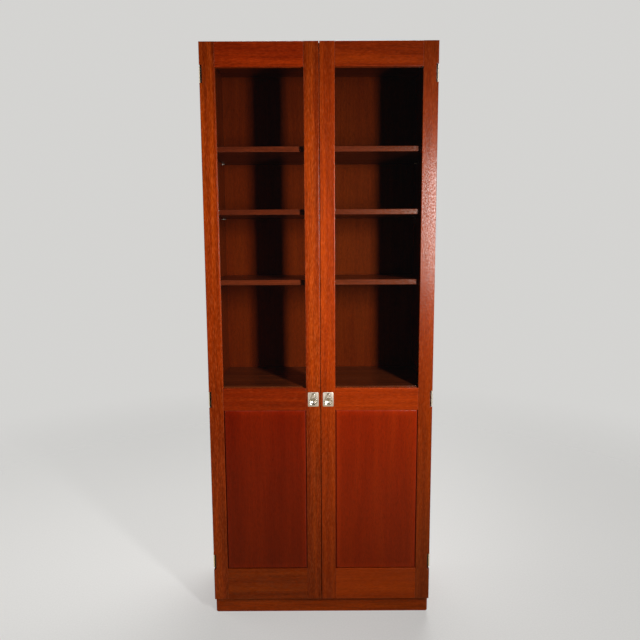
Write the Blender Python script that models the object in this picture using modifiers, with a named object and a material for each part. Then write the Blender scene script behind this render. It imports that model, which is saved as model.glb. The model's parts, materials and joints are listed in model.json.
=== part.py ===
"""A tall two-door cabinet in mahogany: glazed above, panelled below, standing on a plinth.

Metres, +Z up. The origin is on the floor under the middle of the cabinet, and the doors face -Y.
"""

import math

import bmesh
import bpy
from mathutils import Matrix, Vector

for old in list(bpy.data.objects):
    bpy.data.objects.remove(old, do_unlink=True)

# Case
CASE_WIDTH = 0.798
CASE_DEPTH = 0.350
SIDE_THICKNESS = 0.018
TOP_THICKNESS = 0.018
BOTTOM_THICKNESS = 0.018
BACK_THICKNESS = 0.006
BACK_INSET = 0.001
REBATE_WIDTH = 0.008
TONGUE_LENGTH = 0.006
TONGUE_THICKNESS = 0.008
TONGUE_SETBACK = 0.012

# Plinth
PLINTH_HEIGHT = 0.066
PLINTH_THICKNESS = 0.018
PLINTH_SETBACK = 0.003
PLINTH_BACK_INSET = 0.012
PLINTH_CORNER = 0.006

# Shelves, from the deck upwards: the clear height under each one
DECK_THICKNESS = 0.018
DECK_RISE = 0.003
SHELF_THICKNESS = 0.018
SHELF_SETBACK = 0.008
SHELF_END_PLAY = 0.001
SHELF_BACK_PLAY = 0.001
SPACE_OVER_DECK = 0.365
SPACE_OVER_THIRD_SHELF = 0.227
SPACE_OVER_SECOND_SHELF = 0.195
SPACE_UNDER_CUPBOARD_SHELF = 0.378
PIN_RADIUS = 0.0025
PIN_IN_SIDE = 0.010
PIN_IN_CASE = 0.008
PIN_CHAMFER = 0.0004
PIN_INSET = 0.045
PIN_PITCH = 0.032

# Doors
DOOR_THICKNESS = 0.020
DOOR_OVERHANG = 0.001
DOOR_TOP_DROP = 0.001
DOOR_BELOW_CASE = 0.001
DOOR_TO_CASE = 0.0012
MEETING_GAP = 0.0024
STILE_WIDTH = 0.051
TOP_RAIL = 0.081
WINDOW_HEIGHT = 1.098
MIDDLE_RAIL = 0.081
PANEL_OPENING = 0.6055
BOTTOM_RAIL = 0.1205
TENON_LENGTH = 0.010
TENON_THICKNESS = 0.007
TENON_SETBACK = 0.0065
TENON_SHOULDER = 0.012

# Glazing
GLASS_LIP = 0.009
GLASS_REBATE = 0.008
GLASS_THICKNESS = 0.004
GLASS_EDGE_PLAY = 0.0008

# Lower panels
PANEL_SETBACK = 0.001
PANEL_THICKNESS = 0.012
PANEL_TONGUE = 0.006
PANEL_TONGUE_REACH = 0.007
GROOVE_DEPTH = 0.008
SHADOW_GAP = 0.003
SHADOW_GAP_TOP = 0.0006
FIELD_ARRIS = 0.0012

# Hinges
HINGE_LENGTH = 0.058
HINGE_FROM_TOP = 0.1025
HINGE_FROM_BOTTOM = 0.147
KNUCKLE_RADIUS = 0.004
KNUCKLES = 5
HINGE_PIN_RADIUS = 0.0015
AXIS_OUTSIDE_DOOR = 0.0003
LEAF_THICKNESS = 0.0016
LEAF_WIDTH = 0.017
LEAF_OFFSET = 0.0002
NOTCH_DEPTH = 0.0085
KNUCKLE_PLAY = 0.0006

# Flush ring pulls
PLATE_WIDTH = 0.038
PLATE_HEIGHT = 0.052
PLATE_THICKNESS = 0.0035
PLATE_PROUD = 0.001
PLATE_CORNER = 0.003
DISH_RADIUS = 0.012
DISH_DEPTH = 0.009
DISH_DROP = 0.0072
CUP_WALL = 0.0015
RING_RADIUS = 0.013
RING_WIRE = 0.0015
RING_SINK = 0.0009
RING_NECK = 0.0022
RING_PIVOT_RISE = 0.0203
BARREL_RADIUS = 0.0017
BARREL_LENGTH = 0.009
RING_PIN_RADIUS = 0.0007

# Magnetic catch
CATCH_WIDTH = 0.048
CATCH_DEPTH = 0.014
CATCH_HEIGHT = 0.013
CATCH_SETBACK = 0.0012
POLE_WIDTH = 0.014
POLE_HEIGHT = 0.005

# Clearances and edges
SEAT = 0.0003
RUNNING = 0.0003
EASED = 0.0006
PAST = 0.001

# Facets
CORNER_STEPS = 3
ROUND_SIDES = 16
PIN_SIDES = 10
DISH_SIDES = 24
RING_ARC_POINTS = 18

# Heights
door_bottom = PLINTH_HEIGHT - DOOR_BELOW_CASE
panel_bottom = door_bottom + BOTTOM_RAIL
panel_top = panel_bottom + PANEL_OPENING
window_bottom = panel_top + MIDDLE_RAIL
window_top = window_bottom + WINDOW_HEIGHT
door_top = window_top + TOP_RAIL
case_top = door_top + DOOR_TOP_DROP
top_underside = case_top - TOP_THICKNESS
bottom_face = PLINTH_HEIGHT + BOTTOM_THICKNESS
deck_top = window_bottom + DECK_RISE
third_shelf_top = deck_top + SPACE_OVER_DECK + SHELF_THICKNESS
second_shelf_top = third_shelf_top + SPACE_OVER_THIRD_SHELF + SHELF_THICKNESS
first_shelf_top = second_shelf_top + SPACE_OVER_SECOND_SHELF + SHELF_THICKNESS
cupboard_shelf_top = bottom_face + SPACE_UNDER_CUPBOARD_SHELF + SHELF_THICKNESS
pull_height = (panel_top + window_bottom) / 2

# Depths, from the ring's front to the back of the case
ring_proud = PLATE_PROUD - RING_SINK + BARREL_RADIUS
total_depth = ring_proud + DOOR_THICKNESS + DOOR_TO_CASE + CASE_DEPTH
case_rear = total_depth / 2
case_front = case_rear - CASE_DEPTH
door_back = case_front - DOOR_TO_CASE
door_front = door_back - DOOR_THICKNESS
back_rear = case_rear - BACK_INSET
back_front = back_rear - BACK_THICKNESS
hinge_y = (door_back + case_front) / 2
plate_front = door_front - PLATE_PROUD
ring_y = plate_front + RING_SINK

# Widths, from the middle plane outwards
case_half = CASE_WIDTH / 2
inside_half = case_half - SIDE_THICKNESS
door_outer = case_half + DOOR_OVERHANG
door_inner = MEETING_GAP / 2
window_outer = door_outer - STILE_WIDTH
window_inner = door_inner + STILE_WIDTH
hinge_x = door_outer + AXIS_OUTSIDE_DOOR
pull_x = door_inner + STILE_WIDTH / 2

# Colours from the photo, as linear red, green and blue, with roughness and metallic
FINISHES = {
    "frame_wood": ((0.300, 0.046, 0.010), 0.32, 0.0),
    "panel_wood": ((0.170, 0.022, 0.006), 0.34, 0.0),
    "inner_wood": ((0.140, 0.028, 0.010), 0.45, 0.0),
    "back_wood": ((0.150, 0.034, 0.012), 0.50, 0.0),
    "glass": ((0.900, 0.940, 0.930), 0.02, 0.0),
    "nickel": ((0.620, 0.600, 0.540), 0.24, 1.0),
    "steel": ((0.560, 0.550, 0.530), 0.35, 1.0),
}

cabinet = bpy.data.collections.new("tall_cabinet")
cutters = bpy.data.collections.new("cutters")
bpy.context.scene.collection.children.link(cabinet)
bpy.context.scene.collection.children.link(cutters)


# Shapes

def add_box(bm, x_span, y_span, z_span):
    """Add a box between three spans and return its vertices."""
    low = Vector((min(x_span), min(y_span), min(z_span)))
    high = Vector((max(x_span), max(y_span), max(z_span)))
    place = Matrix.Translation((low + high) / 2) @ Matrix.Diagonal((*(high - low), 1.0))
    return bmesh.ops.create_cube(bm, size=1.0, matrix=place)["verts"]


def add_rod(bm, start, end, radius, sides):
    """Add a round rod between two points."""
    run = Vector(end) - Vector(start)
    turn = run.to_track_quat("Z", "Y").to_matrix().to_4x4()
    place = Matrix.Translation((Vector(start) + Vector(end)) / 2) @ turn
    bmesh.ops.create_cone(
        bm, cap_ends=True, segments=sides, radius1=radius, radius2=radius,
        depth=run.length, matrix=place,
    )


def ease(bm, verts, along, width=EASED):
    """Take the sharp arris off the edges of a box that run along one axis."""
    chosen = set(verts)
    edges = []
    for edge in bm.edges:
        run = edge.verts[1].co - edge.verts[0].co
        if edge.verts[0] in chosen and abs(run[along]) > 0.99 * run.length:
            edges.append(edge)
    bmesh.ops.bevel(bm, geom=edges, offset=width, segments=1, affect="EDGES")


def finish_for(name, kind):
    """One material of its own for a sub-part, in one of the cabinet's finishes."""
    colour, roughness, metallic = FINISHES[kind]
    material = bpy.data.materials.new(name + "_" + kind)
    material.use_nodes = True
    shader = material.node_tree.nodes["Principled BSDF"]
    shader.inputs["Base Color"].default_value = (*colour, 1.0)
    shader.inputs["Roughness"].default_value = roughness
    shader.inputs["Metallic"].default_value = metallic
    if kind == "glass":
        shader.inputs["Transmission Weight"].default_value = 1.0
    return material


def place_mesh(name, mesh, origin, carrier, collection):
    """Put a mesh in the scene at its origin, under the empty that carries it, if it has one."""
    item = bpy.data.objects.new(name, mesh)
    collection.objects.link(item)
    item.location = Vector(origin)
    if carrier:
        item.parent = carrier
        item.location -= carrier.location
    return item


def mesh_about(name, bm, origin):
    """A mesh from a bmesh drawn in world coordinates, moved so that origin is its zero."""
    bmesh.ops.translate(bm, verts=bm.verts, vec=-Vector(origin))
    mesh = bpy.data.meshes.new(name)
    bm.to_mesh(mesh)
    bm.free()
    return mesh


def middle_of(bm):
    """The centre of a bmesh's box."""
    corners = [vert.co for vert in bm.verts]
    low = [min(corner[i] for corner in corners) for i in range(3)]
    high = [max(corner[i] for corner in corners) for i in range(3)]
    return (Vector(low) + Vector(high)) / 2


def piece(name, bm, kind, carrier=None, origin=None):
    """One sub-part of the cabinet with its own material."""
    origin = middle_of(bm) if origin is None else origin
    mesh = mesh_about(name, bm, origin)
    mesh.materials.append(finish_for(name, kind))
    return place_mesh(name, mesh, origin, carrier, cabinet)


def board(name, x_span, y_span, z_span, kind, grain, carrier=None):
    """A board with the four edges along its grain eased."""
    bm = bmesh.new()
    ease(bm, add_box(bm, x_span, y_span, z_span), grain)
    return piece(name, bm, kind, carrier)


def tool(name, bm, carrier=None):
    """A shape that cuts or joins other pieces and isn't part of the cabinet itself."""
    origin = middle_of(bm)
    item = place_mesh(name, mesh_about(name, bm, origin), origin, carrier, cutters)
    item.hide_render = True
    item.display_type = "WIRE"
    return item


def box_tool(name, spans, carrier=None):
    """A tool made of one or more boxes that don't touch."""
    bm = bmesh.new()
    for x_span, y_span, z_span in spans:
        add_box(bm, x_span, y_span, z_span)
    return tool(name, bm, carrier)


def rod_tool(name, rods, radius, sides, carrier=None):
    """A tool made of one or more rods that don't touch."""
    bm = bmesh.new()
    for start, end in rods:
        add_rod(bm, start, end, radius, sides)
    return tool(name, bm, carrier)


def combine(item, other, operation):
    modifier = item.modifiers.new(other.name, "BOOLEAN")
    modifier.operation = operation
    modifier.solver = "EXACT"
    modifier.object = other


def cut(item, *others):
    for other in others:
        combine(item, other, "DIFFERENCE")


def join(item, *others):
    for other in others:
        combine(item, other, "UNION")


def turn_profile(item, sides):
    """Turn an open or closed profile at +X about the object's own Z axis."""
    screw = item.modifiers.new("Turn", "SCREW")
    screw.axis = "Z"
    screw.angle = math.tau
    screw.steps = sides
    screw.render_steps = sides
    screw.use_merge_vertices = True
    screw.merge_threshold = 0.00001


def profile_mesh(name, loops, closed):
    """A mesh of edges through (radius, height) points, outer side from top to bottom."""
    mesh = bpy.data.meshes.new(name)
    points = []
    edges = []
    for loop in loops:
        first = len(points)
        points += [(radius, 0.0, height) for radius, height in loop]
        edges += [(first + i, first + i + 1) for i in range(len(loop) - 1)]
        if closed:
            edges.append((len(points) - 1, first))
    mesh.from_pydata(points, edges, [])
    return mesh


def side_span(side, near, far):
    """A span between two distances from the middle plane, on one side of it."""
    return (side * near, side * far)


def circumscribed(radius, sides):
    """The corner radius of a polygon whose flats lie at this radius."""
    return radius / math.cos(math.pi / sides)


# Case panels

tongue_y = (case_front + TONGUE_SETBACK, back_front - SEAT - PAST)
groove_y = (tongue_y[0] - SEAT, back_front)
tongue_x = (-inside_half - TONGUE_LENGTH + SEAT, inside_half + TONGUE_LENGTH - SEAT)
panel_x = (-inside_half + SEAT, inside_half - SEAT)
levels = {
    "top_panel": (top_underside, case_top),
    "bottom_panel": (PLINTH_HEIGHT, bottom_face),
    "middle_deck": (deck_top - DECK_THICKNESS, deck_top),
    "cupboard_shelf": (cupboard_shelf_top - SHELF_THICKNESS, cupboard_shelf_top),
}
rebated = ("top_panel", "bottom_panel")
rebate_z = (bottom_face - REBATE_WIDTH, top_underside + REBATE_WIDTH)
rebate_y = (back_front - SEAT, case_rear + PAST)
rebate = box_tool("back_rebate", [
    ((-inside_half - REBATE_WIDTH, inside_half + REBATE_WIDTH), rebate_y, rebate_z),
])

for name, (low, high) in levels.items():
    rear = case_rear if name in rebated else back_front - SEAT
    panel = board(name, panel_x, (case_front, rear), (low, high), "inner_wood", 0)
    middle = (low + high) / 2
    tongue_z = (middle - TONGUE_THICKNESS / 2, middle + TONGUE_THICKNESS / 2)
    join(panel, box_tool(name + "_tongue", [(tongue_x, tongue_y, tongue_z)]))
    if name in rebated:
        cut(panel, rebate)

board(
    "back_panel",
    (-inside_half - REBATE_WIDTH + SEAT, inside_half + REBATE_WIDTH - SEAT),
    (back_front, back_rear),
    (rebate_z[0] + SEAT, rebate_z[1] - SEAT),
    "back_wood", 2,
)

# Each upper shelf lies on four pins, and can be moved to the holes above and below
shelf_y = (case_front + SHELF_SETBACK, back_front - SHELF_BACK_PLAY)
shelf_x = (-inside_half + SHELF_END_PLAY, inside_half - SHELF_END_PLAY)
shelf_tops = {
    "first_shelf": first_shelf_top,
    "second_shelf": second_shelf_top,
    "third_shelf": third_shelf_top,
}
pin_rows = {"front": case_front + PIN_INSET, "rear": back_front - PIN_INSET}


def pin_height(shelf):
    return shelf_tops[shelf] - SHELF_THICKNESS - SEAT - PIN_RADIUS


for name, top in shelf_tops.items():
    board(name, shelf_x, shelf_y, (top - SHELF_THICKNESS, top), "inner_wood", 0)

pin_ends = (-PIN_IN_SIDE, PIN_IN_CASE)
pin_profile = [
    (0.0, pin_ends[1]),
    (PIN_RADIUS - PIN_CHAMFER, pin_ends[1]),
    (PIN_RADIUS, pin_ends[1] - PIN_CHAMFER),
    (PIN_RADIUS, pin_ends[0] + PIN_CHAMFER),
    (PIN_RADIUS - PIN_CHAMFER, pin_ends[0]),
    (0.0, pin_ends[0]),
]
SIDES = {"left": -1, "right": 1}
for shelf in shelf_tops:
    for row, y in pin_rows.items():
        for hand, side in SIDES.items():
            name = shelf + "_pin_" + row + "_" + hand
            mesh = profile_mesh(name, [pin_profile], closed=False)
            mesh.materials.append(finish_for(name, "steel"))
            place = (side * inside_half, y, pin_height(shelf))
            pin = place_mesh(name, mesh, place, None, cabinet)
            pin.rotation_euler = (0.0, -side * math.pi / 2, 0.0)
            turn_profile(pin, PIN_SIDES)

# Hinge places: the axis of each door, and the three heights on it
hinge_heights = {
    "top": door_top - HINGE_FROM_TOP,
    "middle": pull_height,
    "bottom": door_bottom + HINGE_FROM_BOTTOM,
}
leaf_far = hinge_x - LEAF_WIDTH
mortise_depth = LEAF_OFFSET + LEAF_THICKNESS - DOOR_TO_CASE / 2 + SEAT

# Side panels, grooved for the panels, rebated for the back, bored for pins, let in for hinges
for hand, side in SIDES.items():
    panel = board(
        hand + "_side_panel",
        side_span(side, inside_half, case_half),
        (case_front, case_rear),
        (PLINTH_HEIGHT, case_top),
        "frame_wood", 2,
    )
    grooves = []
    for low, high in levels.values():
        reach = TONGUE_THICKNESS / 2 + SEAT
        middle = (low + high) / 2
        groove_x = side_span(side, inside_half - PAST, inside_half + TONGUE_LENGTH)
        grooves.append((groove_x, groove_y, (middle - reach, middle + reach)))
    mortises = []
    reliefs = []
    for z in hinge_heights.values():
        reach = HINGE_LENGTH / 2 + SEAT
        z_span = (z - reach, z + reach)
        outside = case_half + PAST
        mortises.append((
            side_span(side, leaf_far - SEAT, outside),
            (case_front - PAST, case_front + mortise_depth),
            z_span,
        ))
        reliefs.append((
            side_span(side, hinge_x - KNUCKLE_RADIUS - KNUCKLE_PLAY, outside),
            (case_front - PAST, hinge_y + KNUCKLE_RADIUS + KNUCKLE_PLAY),
            z_span,
        ))
    holes = []
    for y in pin_rows.values():
        for shelf in shelf_tops:
            for step in (-1, 0, 1):
                z = pin_height(shelf) + step * PIN_PITCH
                mouth = (side * (inside_half - PAST), y, z)
                end = (side * (inside_half + PIN_IN_SIDE + SEAT), y, z)
                holes.append((mouth, end))
    cut(
        panel,
        box_tool(hand + "_panel_grooves", grooves),
        rebate,
        box_tool(hand + "_leaf_mortises", mortises),
        box_tool(hand + "_knuckle_reliefs", reliefs),
        rod_tool(
            hand + "_pin_holes", holes,
            circumscribed(PIN_RADIUS + RUNNING, PIN_SIDES), PIN_SIDES,
        ),
    )

# Plinth: four boards under the case, the ends between the front and the back
plinth_z = (0.0, PLINTH_HEIGHT - SEAT)


def long_plinth_board(name, y_span):
    """A board across the case, its two lower corners rounded."""
    bm = bmesh.new()
    add_box(bm, (-case_half, case_half), y_span, plinth_z)
    corners = []
    for edge in bm.edges:
        start, end = (vert.co for vert in edge.verts)
        if abs(start.y - end.y) > SEAT and max(start.z, end.z) < SEAT:
            corners.append(edge)
    bmesh.ops.bevel(
        bm, geom=corners, offset=PLINTH_CORNER, segments=CORNER_STEPS, profile=0.5, affect="EDGES",
    )
    piece(name, bm, "frame_wood")


plinth_front_y = (case_front + PLINTH_SETBACK, case_front + PLINTH_SETBACK + PLINTH_THICKNESS)
plinth_back_y = (case_rear - PLINTH_BACK_INSET - PLINTH_THICKNESS, case_rear - PLINTH_BACK_INSET)
long_plinth_board("plinth_front", plinth_front_y)
long_plinth_board("plinth_back", plinth_back_y)
for hand, side in SIDES.items():
    board(
        "plinth_" + hand,
        side_span(side, case_half - PLINTH_THICKNESS, case_half),
        (plinth_front_y[1] + SEAT, plinth_back_y[0] - SEAT),
        plinth_z,
        "frame_wood", 1,
    )

# Double magnetic catch under the top panel, hidden behind the doors' top rails
catch_z = (top_underside - SEAT - CATCH_HEIGHT, top_underside - SEAT)
catch_y = (case_front + CATCH_SETBACK, case_front + CATCH_SETBACK + CATCH_DEPTH)
catch_middle = sum(catch_z) / 2
bm = bmesh.new()
ease(bm, add_box(bm, (-CATCH_WIDTH / 2, CATCH_WIDTH / 2), catch_y, catch_z), 0)
catch = piece("magnetic_catch", bm, "steel")
pole_x = CATCH_WIDTH / 4
poles = []
for side in SIDES.values():
    poles.append((
        (side * pole_x - POLE_WIDTH / 2, side * pole_x + POLE_WIDTH / 2),
        (case_front, catch_y[0] + PAST),
        (catch_middle - POLE_HEIGHT / 2, catch_middle + POLE_HEIGHT / 2),
    ))
join(catch, box_tool("catch_poles", poles))


# Hinges

def knuckle_spans():
    """The heights between which each knuckle lies, from the hinge's middle, top first."""
    pitch = HINGE_LENGTH / KNUCKLES
    spans = []
    for i in range(KNUCKLES):
        top = HINGE_LENGTH / 2 - i * pitch - (RUNNING / 2 if i > 0 else 0.0)
        bottom = HINGE_LENGTH / 2 - (i + 1) * pitch + (RUNNING / 2 if i < KNUCKLES - 1 else 0.0)
        spans.append((top, bottom))
    return spans


def case_barrel():
    """The outline of the case leaf's knuckles and of the pin that runs through all five."""
    spans = knuckle_spans()
    outline = [(0.0, HINGE_LENGTH / 2)]
    for i, (top, bottom) in enumerate(spans):
        radius = KNUCKLE_RADIUS if i % 2 == 0 else HINGE_PIN_RADIUS
        start = top if i % 2 == 0 else spans[i - 1][1]
        end = bottom if i % 2 == 0 else spans[i + 1][0]
        outline += [(radius, start), (radius, end)]
    return outline + [(0.0, -HINGE_LENGTH / 2)]


def door_barrels():
    """The outlines of the door leaf's two tubes, which run on the pin."""
    bore = circumscribed(HINGE_PIN_RADIUS + RUNNING, ROUND_SIDES)
    loops = []
    for top, bottom in knuckle_spans()[1::2]:
        loops.append([(KNUCKLE_RADIUS, top), (KNUCKLE_RADIUS, bottom), (bore, bottom), (bore, top)])
    return loops


def hinge_leaf(name, side, z, on_door, carrier):
    """A leaf: its knuckles turned about the axis, and a plate cut back beside the other's."""
    loops = door_barrels() if on_door else [case_barrel()]
    mesh = profile_mesh(name, loops, closed=on_door)
    mesh.materials.append(finish_for(name, "steel"))
    leaf = place_mesh(name, mesh, (side * hinge_x, hinge_y, z), carrier, cabinet)
    turn_profile(leaf, ROUND_SIDES)
    knuckle_wall = (KNUCKLE_RADIUS + HINGE_PIN_RADIUS) / 2
    plate_y = (hinge_y + LEAF_OFFSET, hinge_y + LEAF_OFFSET + LEAF_THICKNESS)
    if on_door:
        plate_y = (hinge_y - LEAF_OFFSET, hinge_y - LEAF_OFFSET - LEAF_THICKNESS)
    reach = HINGE_LENGTH / 2 - SEAT
    plate = box_tool(name + "_plate", [
        (side_span(side, leaf_far, hinge_x - knuckle_wall), plate_y, (z - reach, z + reach)),
    ], carrier)
    clear_x = side_span(side, hinge_x - KNUCKLE_RADIUS - KNUCKLE_PLAY, hinge_x)
    clear_y = (hinge_y - KNUCKLE_RADIUS, hinge_y + KNUCKLE_RADIUS)
    gaps = []
    for top, bottom in knuckle_spans()[0 if on_door else 1::2]:
        gaps.append((clear_x, clear_y, (z + bottom - 2 * RUNNING, z + top + 2 * RUNNING)))
    cut(plate, box_tool(name + "_gaps", gaps, carrier))
    join(leaf, plate)


# Doors

def pear_points(centre_x, centre_z):
    """The ring's middle line: round the dish, then in to a narrow neck on the pivot."""
    rise = RING_PIVOT_RISE + DISH_DROP
    reach = math.hypot(RING_NECK, rise)
    start = math.atan2(rise, RING_NECK) - math.acos(RING_RADIUS / reach)
    sweep = math.pi + 2 * start
    points = [(centre_x + RING_NECK, ring_y, centre_z + rise)]
    for i in range(RING_ARC_POINTS + 1):
        angle = start - sweep * i / RING_ARC_POINTS
        x = centre_x + RING_RADIUS * math.cos(angle)
        points.append((x, ring_y, centre_z + RING_RADIUS * math.sin(angle)))
    points.append((centre_x - RING_NECK, ring_y, centre_z + rise))
    return points


def pear_tube(name, radius, side, origin):
    """A closed tube along the ring's middle line, as a mesh about the origin."""
    curve = bpy.data.curves.new(name, "CURVE")
    curve.dimensions = "3D"
    curve.bevel_depth = radius
    curve.bevel_resolution = 2
    points = pear_points(side * pull_x, pull_height - DISH_DROP)
    spline = curve.splines.new("POLY")
    spline.points.add(len(points) - 1)
    spline.use_cyclic_u = True
    for point, place in zip(spline.points, points):
        point.co = (*(Vector(place) - Vector(origin)), 1.0)
    guide = bpy.data.objects.new(name, curve)
    bpy.context.scene.collection.objects.link(guide)
    bpy.context.view_layer.update()
    drawn = guide.evaluated_get(bpy.context.evaluated_depsgraph_get())
    mesh = bpy.data.meshes.new_from_object(drawn)
    bpy.data.objects.remove(guide, do_unlink=True)
    bm = bmesh.new()
    bm.from_mesh(mesh)
    bmesh.ops.remove_doubles(bm, verts=bm.verts, dist=0.00001)
    bmesh.ops.recalc_face_normals(bm, faces=bm.faces)
    bm.to_mesh(mesh)
    bm.free()
    return mesh


def rounded_plate(x_span, y_span, z_span, outset=0.0):
    """An upright plate with rounded corners, or the recess that it lies in."""
    bm = bmesh.new()
    wide = (x_span[0] - outset, x_span[1] + outset)
    tall = (z_span[0] - outset, z_span[1] + outset)
    add_box(bm, wide, y_span, tall)
    through = [edge for edge in bm.edges if (edge.verts[1].co - edge.verts[0].co).y != 0]
    bmesh.ops.bevel(
        bm, geom=through, offset=PLATE_CORNER + outset, segments=CORNER_STEPS, profile=0.5,
        affect="EDGES",
    )
    return bm


def ring_pull(hand, side, carrier):
    """The dished plate let into the meeting stile, and the ring that swings out of it."""
    centre = (side * pull_x, plate_front, pull_height)
    dish_z = pull_height - DISH_DROP
    pivot = (side * pull_x, ring_y, pull_height + RING_PIVOT_RISE)
    half_width = PLATE_WIDTH / 2
    half_height = PLATE_HEIGHT / 2
    plate_x = (centre[0] - half_width, centre[0] + half_width)
    plate_z = (pull_height - half_height, pull_height + half_height)
    plate_y = (plate_front, plate_front + PLATE_THICKNESS)
    plate = piece(
        hand + "_pull_plate", rounded_plate(plate_x, plate_y, plate_z), "nickel", carrier, centre,
    )

    # The dish is part of a sphere, with a cup behind the plate to hold it
    sphere_radius = (DISH_RADIUS ** 2 + DISH_DEPTH ** 2) / (2 * DISH_DEPTH)
    cup_radius = DISH_RADIUS + CUP_WALL
    cup_depth = DISH_DEPTH + CUP_WALL
    join(plate, rod_tool(
        hand + "_pull_cup",
        [((centre[0], plate_front + PAST, dish_z), (centre[0], plate_front + cup_depth, dish_z))],
        cup_radius, DISH_SIDES, carrier,
    ))
    bm = bmesh.new()
    ball_y = plate_front + DISH_DEPTH - sphere_radius
    turn = Matrix.Translation((centre[0], ball_y, dish_z)) @ Matrix.Rotation(math.pi / 2, 4, "X")
    bmesh.ops.create_uvsphere(
        bm, u_segments=DISH_SIDES, v_segments=DISH_SIDES // 2, radius=sphere_radius, matrix=turn,
    )
    cut(plate, tool(hand + "_pull_dish", bm, carrier))

    # The ring lies in a groove of its own shape, its barrel in a pocket with a fixed pin
    groove_mesh = pear_tube(
        hand + "_ring_groove", circumscribed(RING_WIRE + RUNNING, 8), side, pivot,
    )
    groove = place_mesh(hand + "_ring_groove", groove_mesh, pivot, carrier, cutters)
    groove.hide_render = True
    groove.display_type = "WIRE"
    pocket_half = BARREL_LENGTH / 2 + RUNNING
    pocket_reach = BARREL_RADIUS + 2 * RUNNING
    pocket = box_tool(hand + "_barrel_pocket", [(
        (pivot[0] - pocket_half, pivot[0] + pocket_half),
        (plate_front - PAST, ring_y + BARREL_RADIUS + RUNNING),
        (pivot[2] - pocket_reach, pivot[2] + pocket_reach),
    )], carrier)
    cut(plate, groove, pocket)
    pin_half = pocket_half + PAST
    join(plate, rod_tool(
        hand + "_ring_pin",
        [((pivot[0] - pin_half, ring_y, pivot[2]), (pivot[0] + pin_half, ring_y, pivot[2]))],
        RING_PIN_RADIUS, PIN_SIDES, carrier,
    ))

    swing = bpy.data.objects.new(hand + "_ring_axis", None)
    cabinet.objects.link(swing)
    swing.parent = carrier
    swing.location = Vector(pivot) - carrier.location
    ring_mesh = pear_tube(hand + "_pull_ring", RING_WIRE, side, pivot)
    ring_mesh.materials.append(finish_for(hand + "_pull_ring", "nickel"))
    ring = bpy.data.objects.new(hand + "_pull_ring", ring_mesh)
    cabinet.objects.link(ring)
    ring.parent = swing
    barrel_half = BARREL_LENGTH / 2
    for label, radius, half in (
        ("barrel", BARREL_RADIUS, barrel_half),
        ("bore", circumscribed(RING_PIN_RADIUS + RUNNING, PIN_SIDES), barrel_half + PAST),
    ):
        bm = bmesh.new()
        add_rod(bm, (-half, 0.0, 0.0), (half, 0.0, 0.0), radius, PIN_SIDES)
        rod = place_mesh(
            hand + "_ring_" + label, mesh_about(label, bm, (0.0, 0.0, 0.0)),
            (0.0, 0.0, 0.0), None, cutters,
        )
        rod.parent = swing
        rod.hide_render = True
        rod.display_type = "WIRE"
        combine(ring, rod, "UNION" if label == "barrel" else "DIFFERENCE")

    # What the stile loses to hold the plate and its cup
    recess_y = (door_front - PAST, plate_front + PLATE_THICKNESS + SEAT)
    recess = tool(
        hand + "_plate_recess", rounded_plate(plate_x, recess_y, plate_z, SEAT), carrier,
    )
    well = rod_tool(
        hand + "_cup_well",
        [((centre[0], door_front, dish_z), (centre[0], plate_front + cup_depth + SEAT, dish_z))],
        circumscribed(cup_radius + SEAT, DISH_SIDES), DISH_SIDES, carrier,
    )
    return recess, well


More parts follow.
